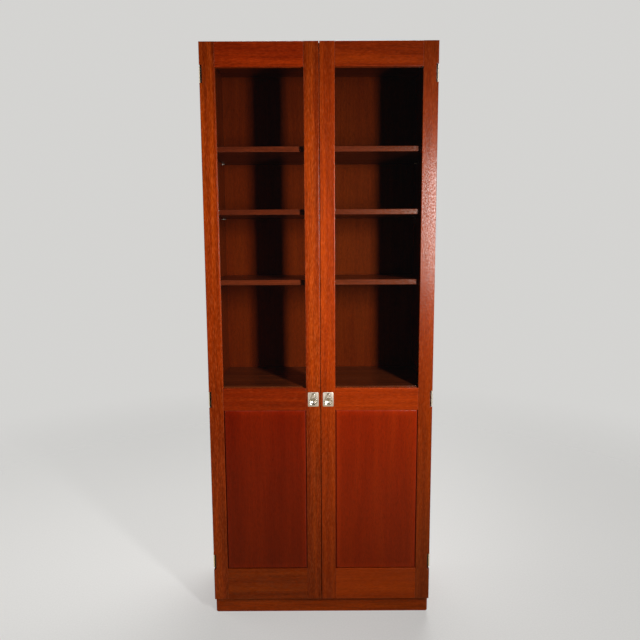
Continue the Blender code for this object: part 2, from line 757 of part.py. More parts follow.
def door(hand, side):
    """One framed door with all that it carries, under an empty on its hinge axis."""
    axis = bpy.data.objects.new(hand + "_door_axis", None)
    cabinet.objects.link(axis)
    axis.location = (side * hinge_x, hinge_y, 0.0)
    name = hand + "_door_"
    thick = (door_front, door_back)
    window_x = side_span(side, window_inner, window_outer)
    outer_stile = board(
        name + "outer_stile", side_span(side, window_outer, door_outer), thick,
        (door_bottom, door_top), "frame_wood", 2, axis,
    )
    meeting_stile = board(
        name + "meeting_stile", side_span(side, door_inner, window_inner), thick,
        (door_bottom, door_top), "frame_wood", 2, axis,
    )

    # Rails, with stub tenons into mortises in the stiles
    rail_x = side_span(side, window_inner + SEAT, window_outer - SEAT)
    tenon_y = (door_front + TENON_SETBACK, door_front + TENON_SETBACK + TENON_THICKNESS)
    mortise_y = (tenon_y[0] - SEAT, tenon_y[1] + SEAT)
    tenon_x = side_span(
        side, window_inner - TENON_LENGTH, window_outer + TENON_LENGTH,
    )
    mortise_x = side_span(
        side, window_inner - TENON_LENGTH - SEAT, window_outer + TENON_LENGTH + SEAT,
    )
    rails = {}
    mortises = []
    for label, low, high in (
        ("top_rail", window_top, door_top),
        ("middle_rail", panel_top, window_bottom),
        ("bottom_rail", door_bottom, panel_bottom),
    ):
        rail = board(name + label, rail_x, thick, (low, high), "frame_wood", 0, axis)
        tenon_z = (low + TENON_SHOULDER, high - TENON_SHOULDER)
        join(rail, box_tool(name + label + "_tenons", [(tenon_x, tenon_y, tenon_z)], axis))
        mortises.append((mortise_x, mortise_y, (tenon_z[0] - SEAT, tenon_z[1] + SEAT)))
        rails[label] = rail
    mortise = box_tool(name + "mortises", mortises, axis)
    cut(outer_stile, mortise)
    cut(meeting_stile, mortise)

    # Glass in a rebate from behind, held by a frame of beads
    glass_rebate = box_tool(name + "glass_rebate", [(
        side_span(side, window_inner - GLASS_REBATE, window_outer + GLASS_REBATE),
        (door_front + GLASS_LIP, door_back + PAST),
        (window_bottom - GLASS_REBATE, window_top + GLASS_REBATE),
    )], axis)
    for item in (outer_stile, meeting_stile, rails["top_rail"], rails["middle_rail"]):
        cut(item, glass_rebate)
    glass_y = (door_front + GLASS_LIP + SEAT, door_front + GLASS_LIP + SEAT + GLASS_THICKNESS)
    glass_reach = GLASS_REBATE - GLASS_EDGE_PLAY
    bm = bmesh.new()
    add_box(
        bm,
        side_span(side, window_inner - glass_reach, window_outer + glass_reach),
        glass_y,
        (window_bottom - glass_reach, window_top + glass_reach),
    )
    piece(name + "glass", bm, "glass", axis)
    bead_reach = GLASS_REBATE - SEAT
    bead_y = (glass_y[1] + SEAT, door_back)
    bm = bmesh.new()
    add_box(
        bm,
        side_span(side, window_inner - bead_reach, window_outer + bead_reach),
        bead_y,
        (window_bottom - bead_reach, window_top + bead_reach),
    )
    bead = piece(name + "glazing_bead", bm, "frame_wood", axis)
    sight = (bead_y[0] - PAST, bead_y[1] + PAST)
    cut(bead, box_tool(
        name + "sight_opening", [(window_x, sight, (window_bottom, window_top))], axis,
    ))

    # Panel: a flat field, nearly flush, on a thinner board whose edges run in grooves
    panel_back = door_front + PANEL_SETBACK + PANEL_THICKNESS
    tongue_y = (panel_back - PANEL_TONGUE, panel_back)
    groove = box_tool(name + "panel_groove", [(
        side_span(side, window_inner - GROOVE_DEPTH, window_outer + GROOVE_DEPTH),
        (tongue_y[0] - SEAT, tongue_y[1] + SEAT),
        (panel_bottom - GROOVE_DEPTH, panel_top + GROOVE_DEPTH),
    )], axis)
    for item in (outer_stile, meeting_stile, rails["middle_rail"], rails["bottom_rail"]):
        cut(item, groove)
    bm = bmesh.new()
    add_box(
        bm,
        side_span(side, window_inner - PANEL_TONGUE_REACH, window_outer + PANEL_TONGUE_REACH),
        tongue_y,
        (panel_bottom - PANEL_TONGUE_REACH, panel_top + PANEL_TONGUE_REACH),
    )
    panel = piece(name + "panel", bm, "panel_wood", axis)
    bm = bmesh.new()
    field_front = door_front + PANEL_SETBACK
    add_box(
        bm,
        side_span(side, window_inner + SHADOW_GAP, window_outer - SHADOW_GAP),
        (field_front, tongue_y[0] + PAST),
        (panel_bottom + SHADOW_GAP, panel_top - SHADOW_GAP_TOP),
    )
    arris = [
        edge for edge in bm.edges
        if max(abs(vert.co.y - field_front) for vert in edge.verts) < SEAT
    ]
    bmesh.ops.bevel(bm, geom=arris, offset=FIELD_ARRIS, segments=2, affect="EDGES")
    join(panel, tool(name + "panel_field", bm, axis))

    # Hinges: a notch right through the stile's edge for the knuckles, a mortise for the leaf
    notches = []
    seats = []
    for label, z in hinge_heights.items():
        reach = HINGE_LENGTH / 2 + SEAT
        z_span = (z - reach, z + reach)
        notches.append((
            side_span(side, door_outer - NOTCH_DEPTH, door_outer + PAST),
            (door_front - PAST, door_back + PAST),
            z_span,
        ))
        seats.append((
            side_span(side, leaf_far - SEAT, door_outer + PAST),
            (door_back - mortise_depth, door_back + PAST),
            z_span,
        ))
        hinge_leaf(hand + "_case_hinge_leaf_" + label, side, z, False, None)
        hinge_leaf(hand + "_door_hinge_leaf_" + label, side, z, True, axis)
    cut(
        outer_stile,
        box_tool(name + "knuckle_notches", notches, axis),
        box_tool(name + "leaf_seats", seats, axis),
    )
    cut(meeting_stile, *ring_pull(hand, side, axis))


for hand, side in SIDES.items():
    door(hand, side)

for item in cabinet.objects:
    if item.type == "MESH":
        item.data.shade_smooth()
        item.data.set_sharp_from_angle(angle=math.radians(35))
bpy.context.view_layer.update()
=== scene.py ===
"""The looks of a tall two-door mahogany cabinet: wood, glass, metal fittings and a plain studio."""

import json
import math

import bmesh
import bpy
from mathutils import Matrix, Vector


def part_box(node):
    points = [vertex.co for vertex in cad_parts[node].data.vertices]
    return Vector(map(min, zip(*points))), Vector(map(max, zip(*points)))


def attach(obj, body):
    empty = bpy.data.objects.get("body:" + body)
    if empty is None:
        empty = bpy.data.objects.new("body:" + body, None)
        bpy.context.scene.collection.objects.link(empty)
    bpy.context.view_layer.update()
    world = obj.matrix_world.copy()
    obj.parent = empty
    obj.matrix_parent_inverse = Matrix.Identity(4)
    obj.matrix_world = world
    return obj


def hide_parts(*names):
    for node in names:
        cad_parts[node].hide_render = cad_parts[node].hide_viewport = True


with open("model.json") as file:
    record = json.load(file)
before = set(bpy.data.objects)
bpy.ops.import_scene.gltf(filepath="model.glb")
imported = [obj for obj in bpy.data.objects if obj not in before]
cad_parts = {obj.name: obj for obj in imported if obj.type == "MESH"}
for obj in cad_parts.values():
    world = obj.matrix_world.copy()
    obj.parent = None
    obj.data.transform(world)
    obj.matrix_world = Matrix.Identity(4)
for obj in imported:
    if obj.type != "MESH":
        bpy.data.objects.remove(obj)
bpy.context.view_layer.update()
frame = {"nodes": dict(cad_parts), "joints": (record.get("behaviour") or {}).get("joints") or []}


# Case
# Two sides, a top, a bottom, a deck and a cupboard shelf, veneered and solid mahogany under a
# satin lacquer. The boards' ends run in grooves in the sides, which are 18 mm thick.

nodes = frame["nodes"]
HANDS = {"left": -1, "right": 1}
FRAME_TONES = ((0.240, 0.0210, 0.0006), (0.340, 0.0350, 0.0009), (0.455, 0.0560, 0.0016))
INNER_TONES = ((0.080, 0.0120, 0.0024), (0.120, 0.0200, 0.0040), (0.170, 0.0330, 0.0070))
# Painted highlight: the colour of the pale glints that stand for the lacquer's sparkle
GLINT = (0.88, 0.46, 0.16, 1.0)
GRAIN_TURN = {"X": (0.0, -math.pi / 2, 0.0), "Y": (math.pi / 2, 0.0, 0.0), "Z": (0.0, 0.0, 0.0)}
LOG_STEP = (0.37, 0.19, 0.83)

# How often each layer of the wood and its lacquer repeats to the metre: across the grain both
# ways, then along it
DRIFT = (5.0, 5.0, 1.2)
BAND_ALONG = 0.8
FLICKER = (170.0, 170.0, 7.0)
SPECKS = (400.0, 400.0, 62.0)
PORES = (1700.0, 1700.0, 75.0)
RUBS = (45.0, 45.0, 22.0)
CLOUDS = (9.0, 9.0, 5.0)
PEEL = (300.0, 300.0, 120.0)
DIMPLES = (215.0, 215.0, 165.0)

# The stretch of each layer's noise that counts
MIDDLE = (0.3, 0.7)
PORE_STRETCH = (0.60, 0.72)
GLINT_STRETCH = (0.50, 0.78)
RUB_STRETCH = (0.42, 0.66)
DIMPLE_STRETCH = (0.34, 0.66)

# What each layer does to the wood and its lacquer
DRIFT_REACH = (0.045, 0.045, 0.0)
BAND_MIDDLE = 0.51
BAND_HALF = 0.23
PORE_SHADE = 0.62
PORE_DULLNESS = 0.12
PORE_SINK = -0.15
EDGE_TURN = (0.995, 0.80)
# How much lighter the edges are, from wear and from painted highlight along every arris
RUB_SHARE = (0.3, 0.8)
EDGE_LIGHT_GAIN = 1.4
EDGE_LIGHT_LIFT = 0.02
GLOSS_SWING = 0.05
PEEL_HEIGHT = 2.2
FILM_SHARE = (0.3, 1.7)
LACQUER_RELIEF = (0.35, 0.0002)
LACQUER_ROUGHNESS = 0.215
WOOD_SHINE = (1.0, 0.45, 0.14, 1.0)


def feed(tree, socket, value):
    """Give an input a value, or a link from a node or from one of its outputs."""
    if isinstance(value, bpy.types.Node):
        value = value.outputs[0]
    if isinstance(value, bpy.types.NodeSocket):
        tree.links.new(value, socket)
    elif value is not None:
        socket.default_value = value


def add(tree, kind, *values, **settings):
    """Add a node with its settings by name and its inputs in order."""
    node = tree.nodes.new(kind)
    for name, value in settings.items():
        setattr(node, name, value)
    for socket, value in zip(node.inputs, values):
        feed(tree, socket, value)
    return node


def calculate(tree, operation, *values):
    """One sum on up to three numbers."""
    return add(tree, "ShaderNodeMath", *values, operation=operation)


def reckon(tree, operation, first, second=None):
    """One sum on one or two colours or places."""
    return add(tree, "ShaderNodeVectorMath", first, second, operation=operation)


def product(tree, first, *others):
    """Several numbers multiplied together."""
    for other in others:
        first = calculate(tree, "MULTIPLY", first, other)
    return first


def fill(tree, node, values):
    """Give a node's inputs their values or links by name."""
    for name, value in values.items():
        feed(tree, node.inputs[name], value)


def spread(tree, value, low, high, start=0.0, end=1.0):
    """Spread the stretch of a value from low to high over another stretch."""
    return add(tree, "ShaderNodeMapRange", value, low, high, start, end)


def around_one(tree, noise, swing):
    """A factor that swings about one with a noise, and isn't cut off at its ends."""
    factor = spread(tree, noise, *MIDDLE, 1.0 - swing / 2, 1.0 + swing / 2)
    factor.clamp = False
    return factor


def mixed(tree, amount, first, second):
    """One colour laid over another."""
    node = add(tree, "ShaderNodeMix", amount, data_type="RGBA")
    feed(tree, node.inputs[6], first)
    feed(tree, node.inputs[7], second)
    return node.outputs[2]


def drawn_noise(tree, place, repeats, detail=2.0, roughness=0.5):
    """Noise drawn out differently along each axis: repeats to the metre."""
    noise = add(tree, "ShaderNodeTexNoise", reckon(tree, "MULTIPLY", place, repeats))
    fill(tree, noise, {"Scale": 1.0, "Detail": detail, "Roughness": roughness})
    return noise


def new_finish(name):
    """An empty material with its Principled shader, joined to the output."""
    finish = bpy.data.materials.new(name)
    finish.use_nodes = True
    tree = finish.node_tree
    tree.nodes.clear()
    shader = tree.nodes.new("ShaderNodeBsdfPrincipled")
    add(tree, "ShaderNodeOutputMaterial", shader)
    return finish, tree, shader


def edge_share(tree, radius):
    """The rounded normal at an edge, and how far it is from the flat one, from 0 to 1."""
    rounded = add(tree, "ShaderNodeBevel", radius, samples=6)
    flat = add(tree, "ShaderNodeNewGeometry").outputs["Normal"]
    facing = reckon(tree, "DOT_PRODUCT", rounded, flat)
    return rounded, spread(tree, facing.outputs["Value"], *EDGE_TURN)


def bumped(tree, strength, depth, height, normal=None):
    """A normal with bumps on it, their depth in metres."""
    bump = add(tree, "ShaderNodeBump", strength, depth)
    fill(tree, bump, {"Height": height, "Normal": normal})
    return bump


def figured_wood(tree, laid, tones, bands, figure, ribbon, fleck):
    """The wood's bands, how light its finer figure is, its specks and its open pores."""
    slow = drawn_noise(tree, laid, DRIFT).outputs["Color"]
    drift = reckon(tree, "SUBTRACT", slow, (0.5, 0.5, 0.5))
    fibre = reckon(tree, "ADD", laid, reckon(tree, "MULTIPLY", drift, DRIFT_REACH))
    band = drawn_noise(tree, fibre, (bands, bands, BAND_ALONG), 3.0, 0.55)
    ramp = add(tree, "ShaderNodeValToRGB", band)
    dark, middle, light = tones
    first, last = ramp.color_ramp.elements
    first.position = BAND_MIDDLE - BAND_HALF / figure
    first.color = (*dark, 1.0)
    last.position = BAND_MIDDLE + BAND_HALF / figure
    last.color = (*light, 1.0)
    ramp.color_ramp.elements.new(0.5).color = (*middle, 1.0)

    flicker = around_one(tree, drawn_noise(tree, fibre, FLICKER), figure * ribbon)
    specks = drawn_noise(tree, fibre, SPECKS, 1.0)
    mottle = around_one(tree, specks, figure * fleck)
    pores = spread(tree, drawn_noise(tree, fibre, PORES, 0.0), *PORE_STRETCH)
    pitted = spread(tree, pores, 0.0, 1.0, 1.0, PORE_SHADE)
    return ramp, product(tree, flicker, mottle, pitted), specks, pores


def mahogany(
    name, tones, along="Z", cut=0.0, ribbon=0.34, fleck=0.32, gloss=0.36, coat=0.4, shine=0.1,
    bands=42.0, figure=1.0, glint=0.0, arris=0.003, shaded=None,
):
    """Lacquered mahogany: broad bands, a flickering ribbon figure, flecks and fine open pores.

    Along is the way the grain runs, and cut is where in the log the board was sawn. Bands is
    how often the broad figure repeats to the metre, figure how strong it all is and glint how
    strong the painted highlight is: pale glints on the specks that stand for the lacquer's
    sparkle. Shaded is a function that gives how much of its light the wood keeps from place to
    place.
    """
    finish, tree, shader = new_finish(name)
    place = add(tree, "ShaderNodeTexCoord").outputs["Object"]
    laid = add(tree, "ShaderNodeMapping", place)
    sawn = [step * cut for step in LOG_STEP]
    fill(tree, laid, {"Location": sawn, "Rotation": GRAIN_TURN[along]})
    ramp, level, specks, pores = figured_wood(tree, laid, tones, bands, figure, ribbon, fleck)
    if shaded:
        level = product(tree, level, shaded(tree, place))
    wood = reckon(tree, "SCALE", ramp)
    feed(tree, wood.inputs["Scale"], level)
    # Painted highlight: pale glints on the specks
    wood = mixed(tree, spread(tree, specks, *GLINT_STRETCH, 0.0, glint), wood, GLINT)

    # Wear and painted highlight: the edges are lighter, more so where they are rubbed
    rounded, edge = edge_share(tree, arris)
    rubs = spread(tree, drawn_noise(tree, laid, RUBS, 3.0), *RUB_STRETCH, *RUB_SHARE)
    worn_and_highlit = tuple(min(1.0, EDGE_LIGHT_GAIN * part + EDGE_LIGHT_LIFT) for part in tones[2])
    clouds = drawn_noise(tree, laid, CLOUDS, 3.0)
    sheen = spread(tree, clouds, *MIDDLE, gloss - GLOSS_SWING, gloss + GLOSS_SWING)
    peel = drawn_noise(tree, laid, PEEL, 1.0)
    sunk = product(tree, pores, PORE_SINK)
    relief = calculate(tree, "MULTIPLY_ADD", peel, PEEL_HEIGHT, sunk)
    bump = bumped(tree, *LACQUER_RELIEF, relief, rounded)
    fill(tree, shader, {
        "Base Color": mixed(tree, product(tree, edge, rubs), wood, (*worn_and_highlit, 1.0)),
        "Roughness": calculate(tree, "MULTIPLY_ADD", pores, PORE_DULLNESS, sheen),
        "Normal": bump,
        "Coat Normal": bump,
        "Coat Roughness": LACQUER_ROUGHNESS,
        "Specular IOR Level": shine,
        "Specular Tint": WOOD_SHINE,
    })
    if coat:
        dimples = drawn_noise(tree, laid, DIMPLES, 1.0)
        film = spread(tree, dimples, *DIMPLE_STRETCH, *(share * coat for share in FILM_SHARE))
        feed(tree, shader.inputs["Coat Weight"], film)
    return finish


def dress(node, finish):
    """Give a CAD node its finish."""
    slots = nodes[node].data.materials
    slots.clear()
    slots.append(finish)


INNER_FACE = 0.3815
INNER_SHARE = 0.32
TOP_SKIN = 0.0005
TOP_SHARE = 0.36


def duller_inside(tree, place):
    """The sides' inner faces are darker than their outer ones."""
    across = calculate(tree, "ABSOLUTE", add(tree, "ShaderNodeSeparateXYZ", place))
    outside = calculate(tree, "GREATER_THAN", across, INNER_FACE)
    return spread(tree, outside, 0.0, 1.0, INNER_SHARE, 1.0)


def duller_below(tree, place):
    """The top panel's underside and edges are darker than its upper face."""
    height = add(tree, "ShaderNodeSeparateXYZ", place).outputs["Z"]
    above = calculate(tree, "GREATER_THAN", height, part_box("top_panel")[1].z - TOP_SKIN)
    return spread(tree, above, 0.0, 1.0, TOP_SHARE, 1.0)


for number, hand in enumerate(HANDS):
    wood = mahogany(hand + "_side_wood", FRAME_TONES, "Z", 3.1 + number, shaded=duller_inside)
    dress(hand + "_side_panel", wood)
dress("top_panel", mahogany("top_panel_wood", FRAME_TONES, "X", 5.3, shaded=duller_below))
for number, board in enumerate(("bottom_panel", "middle_deck", "cupboard_shelf")):
    dress(board, mahogany(board + "_wood", INNER_TONES, "X", 6.3 + number, gloss=0.42))


# Back panel
# A sheet of mahogany-faced plywood, 6 mm thick, in a rebate round the back of the case, held by
# small round-headed screws. Its grain stands upright.

BACK_TONES = ((0.098, 0.0085, 0.0004), (0.122, 0.0125, 0.0007), (0.150, 0.0180, 0.0012))

veneer = mahogany(
    "back_veneer", BACK_TONES, "Z", 11.7, ribbon=0.16, fleck=0.3, gloss=0.5, coat=0.0, shine=0.07,
    bands=24.0,
)
dress("back_panel", veneer)


# Plinth
# Four boards of solid mahogany, 66 mm high and 18 mm thick, glued up into a frame that carries
# the case. The lower corners of the two long boards are rounded.

PLINTH_FLECK = 0.3
PLINTH_SHARE = 1.1


def scaled(tones, share, green=1.0):
    """The same three tones darker or lighter, and with less or more green in them."""
    return tuple((r * share, g * share * green, b * share) for r, g, b in tones)


for number, board in enumerate(("plinth_front", "plinth_back")):
    tones = scaled(FRAME_TONES, PLINTH_SHARE, 1.1)
    dress(board, mahogany(board + "_wood", tones, "X", 13.2 + number, fleck=PLINTH_FLECK))
for number, board in enumerate(("plinth_left", "plinth_right")):
    dress(board, mahogany(board + "_wood", FRAME_TONES, "Y", 15.4 + number, fleck=PLINTH_FLECK))


# Shelves
# Three loose shelves of veneered board, 18 mm thick, with solid front lippings. Each lies on four
# steel pins, a millimetre clear of the case's sides.

SHELF_TONES = scaled(INNER_TONES, 1.12, 0.82)
DOWNWARD = -0.9
UNDERSIDE_SHADE = 0.55


def shaded_undersides(tree, place):
    """Painted shade: the shelves' undersides, the faces that turn down, are darker."""
    facing = add(tree, "ShaderNodeNewGeometry").outputs["Normal"]
    rise = add(tree, "ShaderNodeSeparateXYZ", facing).outputs["Z"]
    down = calculate(tree, "LESS_THAN", rise, DOWNWARD)
    return spread(tree, down, 0.0, 1.0, 1.0, UNDERSIDE_SHADE)


for number, shelf in enumerate(("first_shelf", "second_shelf", "third_shelf")):
    cut = 17.9 + number
    # Painted shade on the shelves' undersides
    wood = mahogany(shelf + "_wood", SHELF_TONES, "X", cut, gloss=0.40, shaded=shaded_undersides)
    dress(shelf, wood)


# Door frames and panels
# Two uprights and three rails to each door, solid mahogany 20 mm thick, stub-tenoned and glued.
# Below the middle rail a flat panel 12 mm thick floats in grooves round its edge.

PANEL_TONES = ((0.178, 0.0062, 0.0003), (0.215, 0.0090, 0.0005), (0.258, 0.0135, 0.0008))

# How light, how yellow and how strongly figured each board is, from the photo: the left
# door's, then the right's
BOARDS = {
    "outer_stile": ((0.92, 0.98, 1.3), (0.70, 0.96, 0.8)),
    "meeting_stile": ((0.72, 0.92, 1.2), (0.85, 0.9, 0.9)),
    "top_rail": ((0.80, 0.66, 1.1), (0.70, 0.82, 0.9)),
    "middle_rail": ((0.55, 0.68, 0.9), (0.92, 0.86, 0.7)),
    "bottom_rail": ((0.74, 1.0, 0.8), (1.20, 1.0, 0.5)),
    "panel": ((0.80, 1.08, 1.2), (1.10, 1.30, 0.9)),
}
# How strong the painted glints are on the stiles and on the rails
STILE_GLINT = 0.045
RAIL_GLINT = 0.02
NOTCH_WALL = 0.3905
NOTCH_SHADE = 0.5
NOTCH_SKIN = 0.0002
PANEL_SIGHT = ((0.0522, 0.3490), (0.1855, 0.7910))
RIM_WIDTH = (0.003, 0.024)
RIM_LIGHT = 1.30


def shaded_notches(tree, place):
    """Painted shade on the hinge notches' walls: they lie between the stile's own faces."""
    spot = add(tree, "ShaderNodeSeparateXYZ", place)
    low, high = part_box("left_door_outer_stile")
    across = calculate(tree, "ABSOLUTE", spot)
    beyond = calculate(tree, "GREATER_THAN", across, NOTCH_WALL)
    within = calculate(tree, "LESS_THAN", across, -low.x - NOTCH_SKIN)
    depth = calculate(tree, "SUBTRACT", spot.outputs["Y"], (low.y + high.y) / 2)
    depth = calculate(tree, "ABSOLUTE", depth)
    between = calculate(tree, "LESS_THAN", depth, (high.y - low.y) / 2 - NOTCH_SKIN)
    return spread(tree, product(tree, beyond, within, between), 0.0, 1.0, 1.0, NOTCH_SHADE)


def painted_light_rim(tree, place):
    """Painted light: the panels are lighter along the frame, in a band as wide as a finger."""
    spot = add(tree, "ShaderNodeSeparateXYZ", place)
    across = calculate(tree, "ABSOLUTE", spot)
    insets = []
    for distance, (low, high) in zip((across, spot.outputs["Z"]), PANEL_SIGHT):
        from_low = calculate(tree, "SUBTRACT", distance, low)
        from_high = calculate(tree, "SUBTRACT", high, distance)
        insets.append(calculate(tree, "MINIMUM", from_low, from_high))
    return spread(tree, calculate(tree, "MINIMUM", *insets), *RIM_WIDTH, RIM_LIGHT, 1.0)


for number, hand in enumerate(HANDS):
    for place, (part, boards) in enumerate(BOARDS.items()):
        name = hand + "_door_" + part
        share, green, figure = boards[number]
        looks = {"cut": 21.0 + 2.3 * number + 5.1 * place, "figure": figure}
        looks["along"] = "X" if part.endswith("rail") else "Z"
        if part == "panel":
            tones = PANEL_TONES
            # The panels carry painted light along the frame
            looks.update(ribbon=0.12, fleck=0.2, bands=20.0, arris=0.006, shaded=painted_light_rim)
        else:
            tones = FRAME_TONES
            looks["glint"] = STILE_GLINT * figure if part.endswith("stile") else RAIL_GLINT
            # Painted shade in the outer stiles' hinge notches
            looks["shaded"] = shaded_notches if part == "outer_stile" else None
        dress(name, mahogany(name + "_wood", scaled(tones, share, green), **looks))


# Glass
# A clear pane 4 mm thick in each door, with a trace of green in it. It lies in a rebate behind
# the frame's lip, and the glazing beads hold it from behind.

PANE_TINT = (0.975, 0.992, 0.985, 1.0)
PASSED_LIGHT = (0.93, 0.95, 0.94, 1.0)
PANE_INDEX = 1.5


def join(tree, shader):
    """Join a shader to the output in place of the one that it has."""
    output = next(node for node in tree.nodes if node.type == "OUTPUT_MATERIAL")
    feed(tree, output.inputs["Surface"], shader)


def clear_glass(name):
    """Real glass that lets the lamps' light through to what stands behind it."""
    finish, tree, shader = new_finish(name)
    fill(tree, shader, {
        "Base Color": PANE_TINT, "Roughness": 0.0, "IOR": PANE_INDEX, "Transmission Weight": 1.0,
    })
    through = add(tree, "ShaderNodeBsdfTransparent", PASSED_LIGHT)
    rays = add(tree, "ShaderNodeLightPath")
    inside = add(tree, "ShaderNodeMixShader", rays.outputs["Is Diffuse Ray"], shader, through)
    join(tree, add(tree, "ShaderNodeMixShader", rays.outputs["Is Shadow Ray"], inside, through))
    return finish


for hand in HANDS:
    dress(hand + "_door_glass", clear_glass(hand + "_pane_glass"))


# Hinges
# Six steel butt hinges, 58 mm long, of two pressed leaves each: the case leaf's three knuckles
# hold the pin, the door leaf's two turn on it. Three countersunk screws hold every leaf.

HINGE_HALF = 0.029
HINGE_PIN = 0.0015
PIN_PROUD = 0.0003
PIN_TAPER = 0.7
KNUCKLES = 5
KNUCKLE_PITCH = 2 * HINGE_HALF / KNUCKLES
KNUCKLE = 0.004
KNUCKLE_EDGE = 0.0004
KNUCKLE_GAP = 0.0003
LEAF_THICKNESS = 0.0016
LEAF_EDGE = 0.0002
LEAF_OFFSET = 0.0002
LEAF_FAR = 0.0170
LEAF_NEAR = 0.0028
LEAF_CORNER = 0.0022
LEAF_SCREWS = ((0.0136, 0.0205), (0.0130, 0.0), (0.0136, -0.0205))
SCREW_HOLE = 0.0028
HOLE_SIDES = 28
STEEL = (0.80, 0.76, 0.67)
HINGE_STEEL = (0.80, 0.75, 0.67)
STEEL_ROUGHNESS = 0.42
STEEL_SCRATCHES = (4000.0, 4000.0, 700.0)
SCRATCH_RELIEF = (0.2, 0.00003)
HANDLING = (160.0, 160.0, 160.0)
HANDLED_STRETCH = (0.4, 0.7)
HANDLED_SHARE = 0.80
HANDLED_SWING = (-0.06, 0.08)
METAL_ARRIS = 0.0004
ARRIS_GAIN = 1.15
# Painted shade in the crook between the leaves and the knuckles: its colour, its strength, and
# where it starts and ends across
CROOK_SHADE_TONE = (0.11, 0.05, 0.025, 1.0)
CROOK_SHADE_SHARE = 0.9
CROOK = (0.3925, 0.3940, 0.3990, 0.4003)


def crook_shade(tree, place):
    """Painted shade in the crook between the leaves and the knuckles."""
    across = calculate(tree, "ABSOLUTE", add(tree, "ShaderNodeSeparateXYZ", place))
    inner = spread(tree, across, CROOK[0], CROOK[1])
    outer = spread(tree, across, CROOK[2], CROOK[3], 1.0, 0.0)
    return product(tree, inner, outer, CROOK_SHADE_SHARE)


def metal(name, colour, roughness, scratches, painted_shade=None):
    """Plated or plain metal with fine scratches along one way and faint clouds of handling.

    Painted shade is a function that gives how much painted shade lies on it from place to place.
    """
    finish, tree, shader = new_finish(name)
    place = add(tree, "ShaderNodeTexCoord").outputs["Object"]
    clouds = drawn_noise(tree, place, HANDLING, 3.0)
    rounded, edge = edge_share(tree, METAL_ARRIS)
    dull = tuple(HANDLED_SHARE * part for part in colour)
    bright = tuple(min(1.0, ARRIS_GAIN * part) for part in colour)
    handled = spread(tree, clouds, *HANDLED_STRETCH)
    tint = mixed(tree, handled, (*colour, 1.0), (*dull, 1.0))
    tint = mixed(tree, edge, tint, (*bright, 1.0))
    # Painted shade laid over the metal's colour
    if painted_shade:
        tint = mixed(tree, painted_shade(tree, place), tint, CROOK_SHADE_TONE)
    fill(tree, shader, {
        "Base Color": tint,
        "Metallic": 1.0,
        "Roughness": spread(tree, clouds, *MIDDLE, *(roughness + swing for swing in HANDLED_SWING)),
        "Normal": bumped(tree, *SCRATCH_RELIEF, drawn_noise(tree, place, scratches), rounded),
    })
    return finish


def new_object(name, data):
    """A new object in the scene, at the origin."""
    item = bpy.data.objects.new(name, data)
    bpy.context.scene.collection.objects.link(item)
    return item


def plain_mesh(item):
    """The mesh that an object's curve or modifiers draw."""
    bpy.context.view_layer.update()
    drawn = item.evaluated_get(bpy.context.evaluated_depsgraph_get())
    return bpy.data.meshes.new_from_object(drawn)


def settle(name, mesh, finish, body, slot, *stands_for):
    """Finish a mesh as one piece of the cabinet, riding on a body of the frame."""
    mesh.materials.clear()
    mesh.materials.append(finish)
    item = new_object(name, mesh)
    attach(item, body)
    if stands_for:
        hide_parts(*stands_for)


def mesh_of(name, bm, smooth=True, crease=32):
    """A finished mesh from a bmesh, its faces outward, smooth but for the sharper edges."""
    bmesh.ops.recalc_face_normals(bm, faces=bm.faces)
    mesh = bpy.data.meshes.new(name)
    bm.to_mesh(mesh)
    bm.free()
    if smooth:
        mesh.shade_smooth()
        mesh.set_sharp_from_angle(angle=math.radians(crease))
    return mesh


def turned(bm, profile, place, turn=None, sides=32):
    """A turned solid: its profile is (radius, height) pairs from top to bottom."""
    frame_of = Matrix.Translation(place) @ (turn or Matrix.Identity(4))
    rows = []
    for radius, height in profile:
        if radius < 1e-7:
            rows.append([bm.verts.new(frame_of @ Vector((0.0, 0.0, height)))])
            continue
        row = []
        for i in range(sides):
            angle = 2 * math.pi * i / sides
            spot = Vector((radius * math.cos(angle), radius * math.sin(angle), height))
            row.append(bm.verts.new(frame_of @ spot))
        rows.append(row)
    for upper, lower in zip(rows, rows[1:]):
        for i in range(sides):
            j = (i + 1) % sides
            if len(upper) == 1:
                bm.faces.new((upper[0], lower[i], lower[j]))
            elif len(lower) == 1:
                bm.faces.new((upper[i], lower[0], upper[j]))
            else:
                bm.faces.new((upper[i], lower[i], lower[j], upper[j]))


def curve_mesh(curve, *loops):
    """The mesh that a curve's closed lines draw."""
    for loop in loops:
        spline = curve.splines.new("POLY")
        spline.points.add(len(loop) - 1)
        spline.use_cyclic_u = True
        for point, spot in zip(spline.points, loop):
            point.co = (*spot, 1.0)
    guide = new_object(curve.name, curve)
    mesh = plain_mesh(guide)
    bpy.data.objects.remove(guide, do_unlink=True)
    return mesh


def cut_plate(name, outline, holes, thickness, edge):
    """A flat plate with round holes, its edges slightly rounded, in the plane of X and Z."""
    curve = bpy.data.curves.new(name, "CURVE")
    curve.dimensions = "2D"
    curve.fill_mode = "BOTH"
    curve.extrude = thickness / 2 - edge
    curve.bevel_depth = edge
    curve.bevel_resolution = 1
    curve.offset = -edge
    loops = [outline]
    for x, z, radius in holes:
        steps = (2 * math.pi * i / HOLE_SIDES for i in range(HOLE_SIDES))
        loops.append([(x + radius * math.cos(a), z + radius * math.sin(a)) for a in steps])
    mesh = curve_mesh(curve, *([(x, z, 0.0) for x, z in loop] for loop in loops))
    mesh.transform(Matrix.Rotation(math.pi / 2, 4, "X"))
    return mesh


def add_welded(bm, mesh, matrix):
    """Add a mesh to a bmesh, moved into place and welded to itself."""
    mesh.transform(matrix)
    part = bmesh.new()
    part.from_mesh(mesh)
    bmesh.ops.remove_doubles(part, verts=part.verts, dist=0.000004)
    part.to_mesh(mesh)
    part.free()
    bm.from_mesh(mesh)
    bpy.data.meshes.remove(mesh)


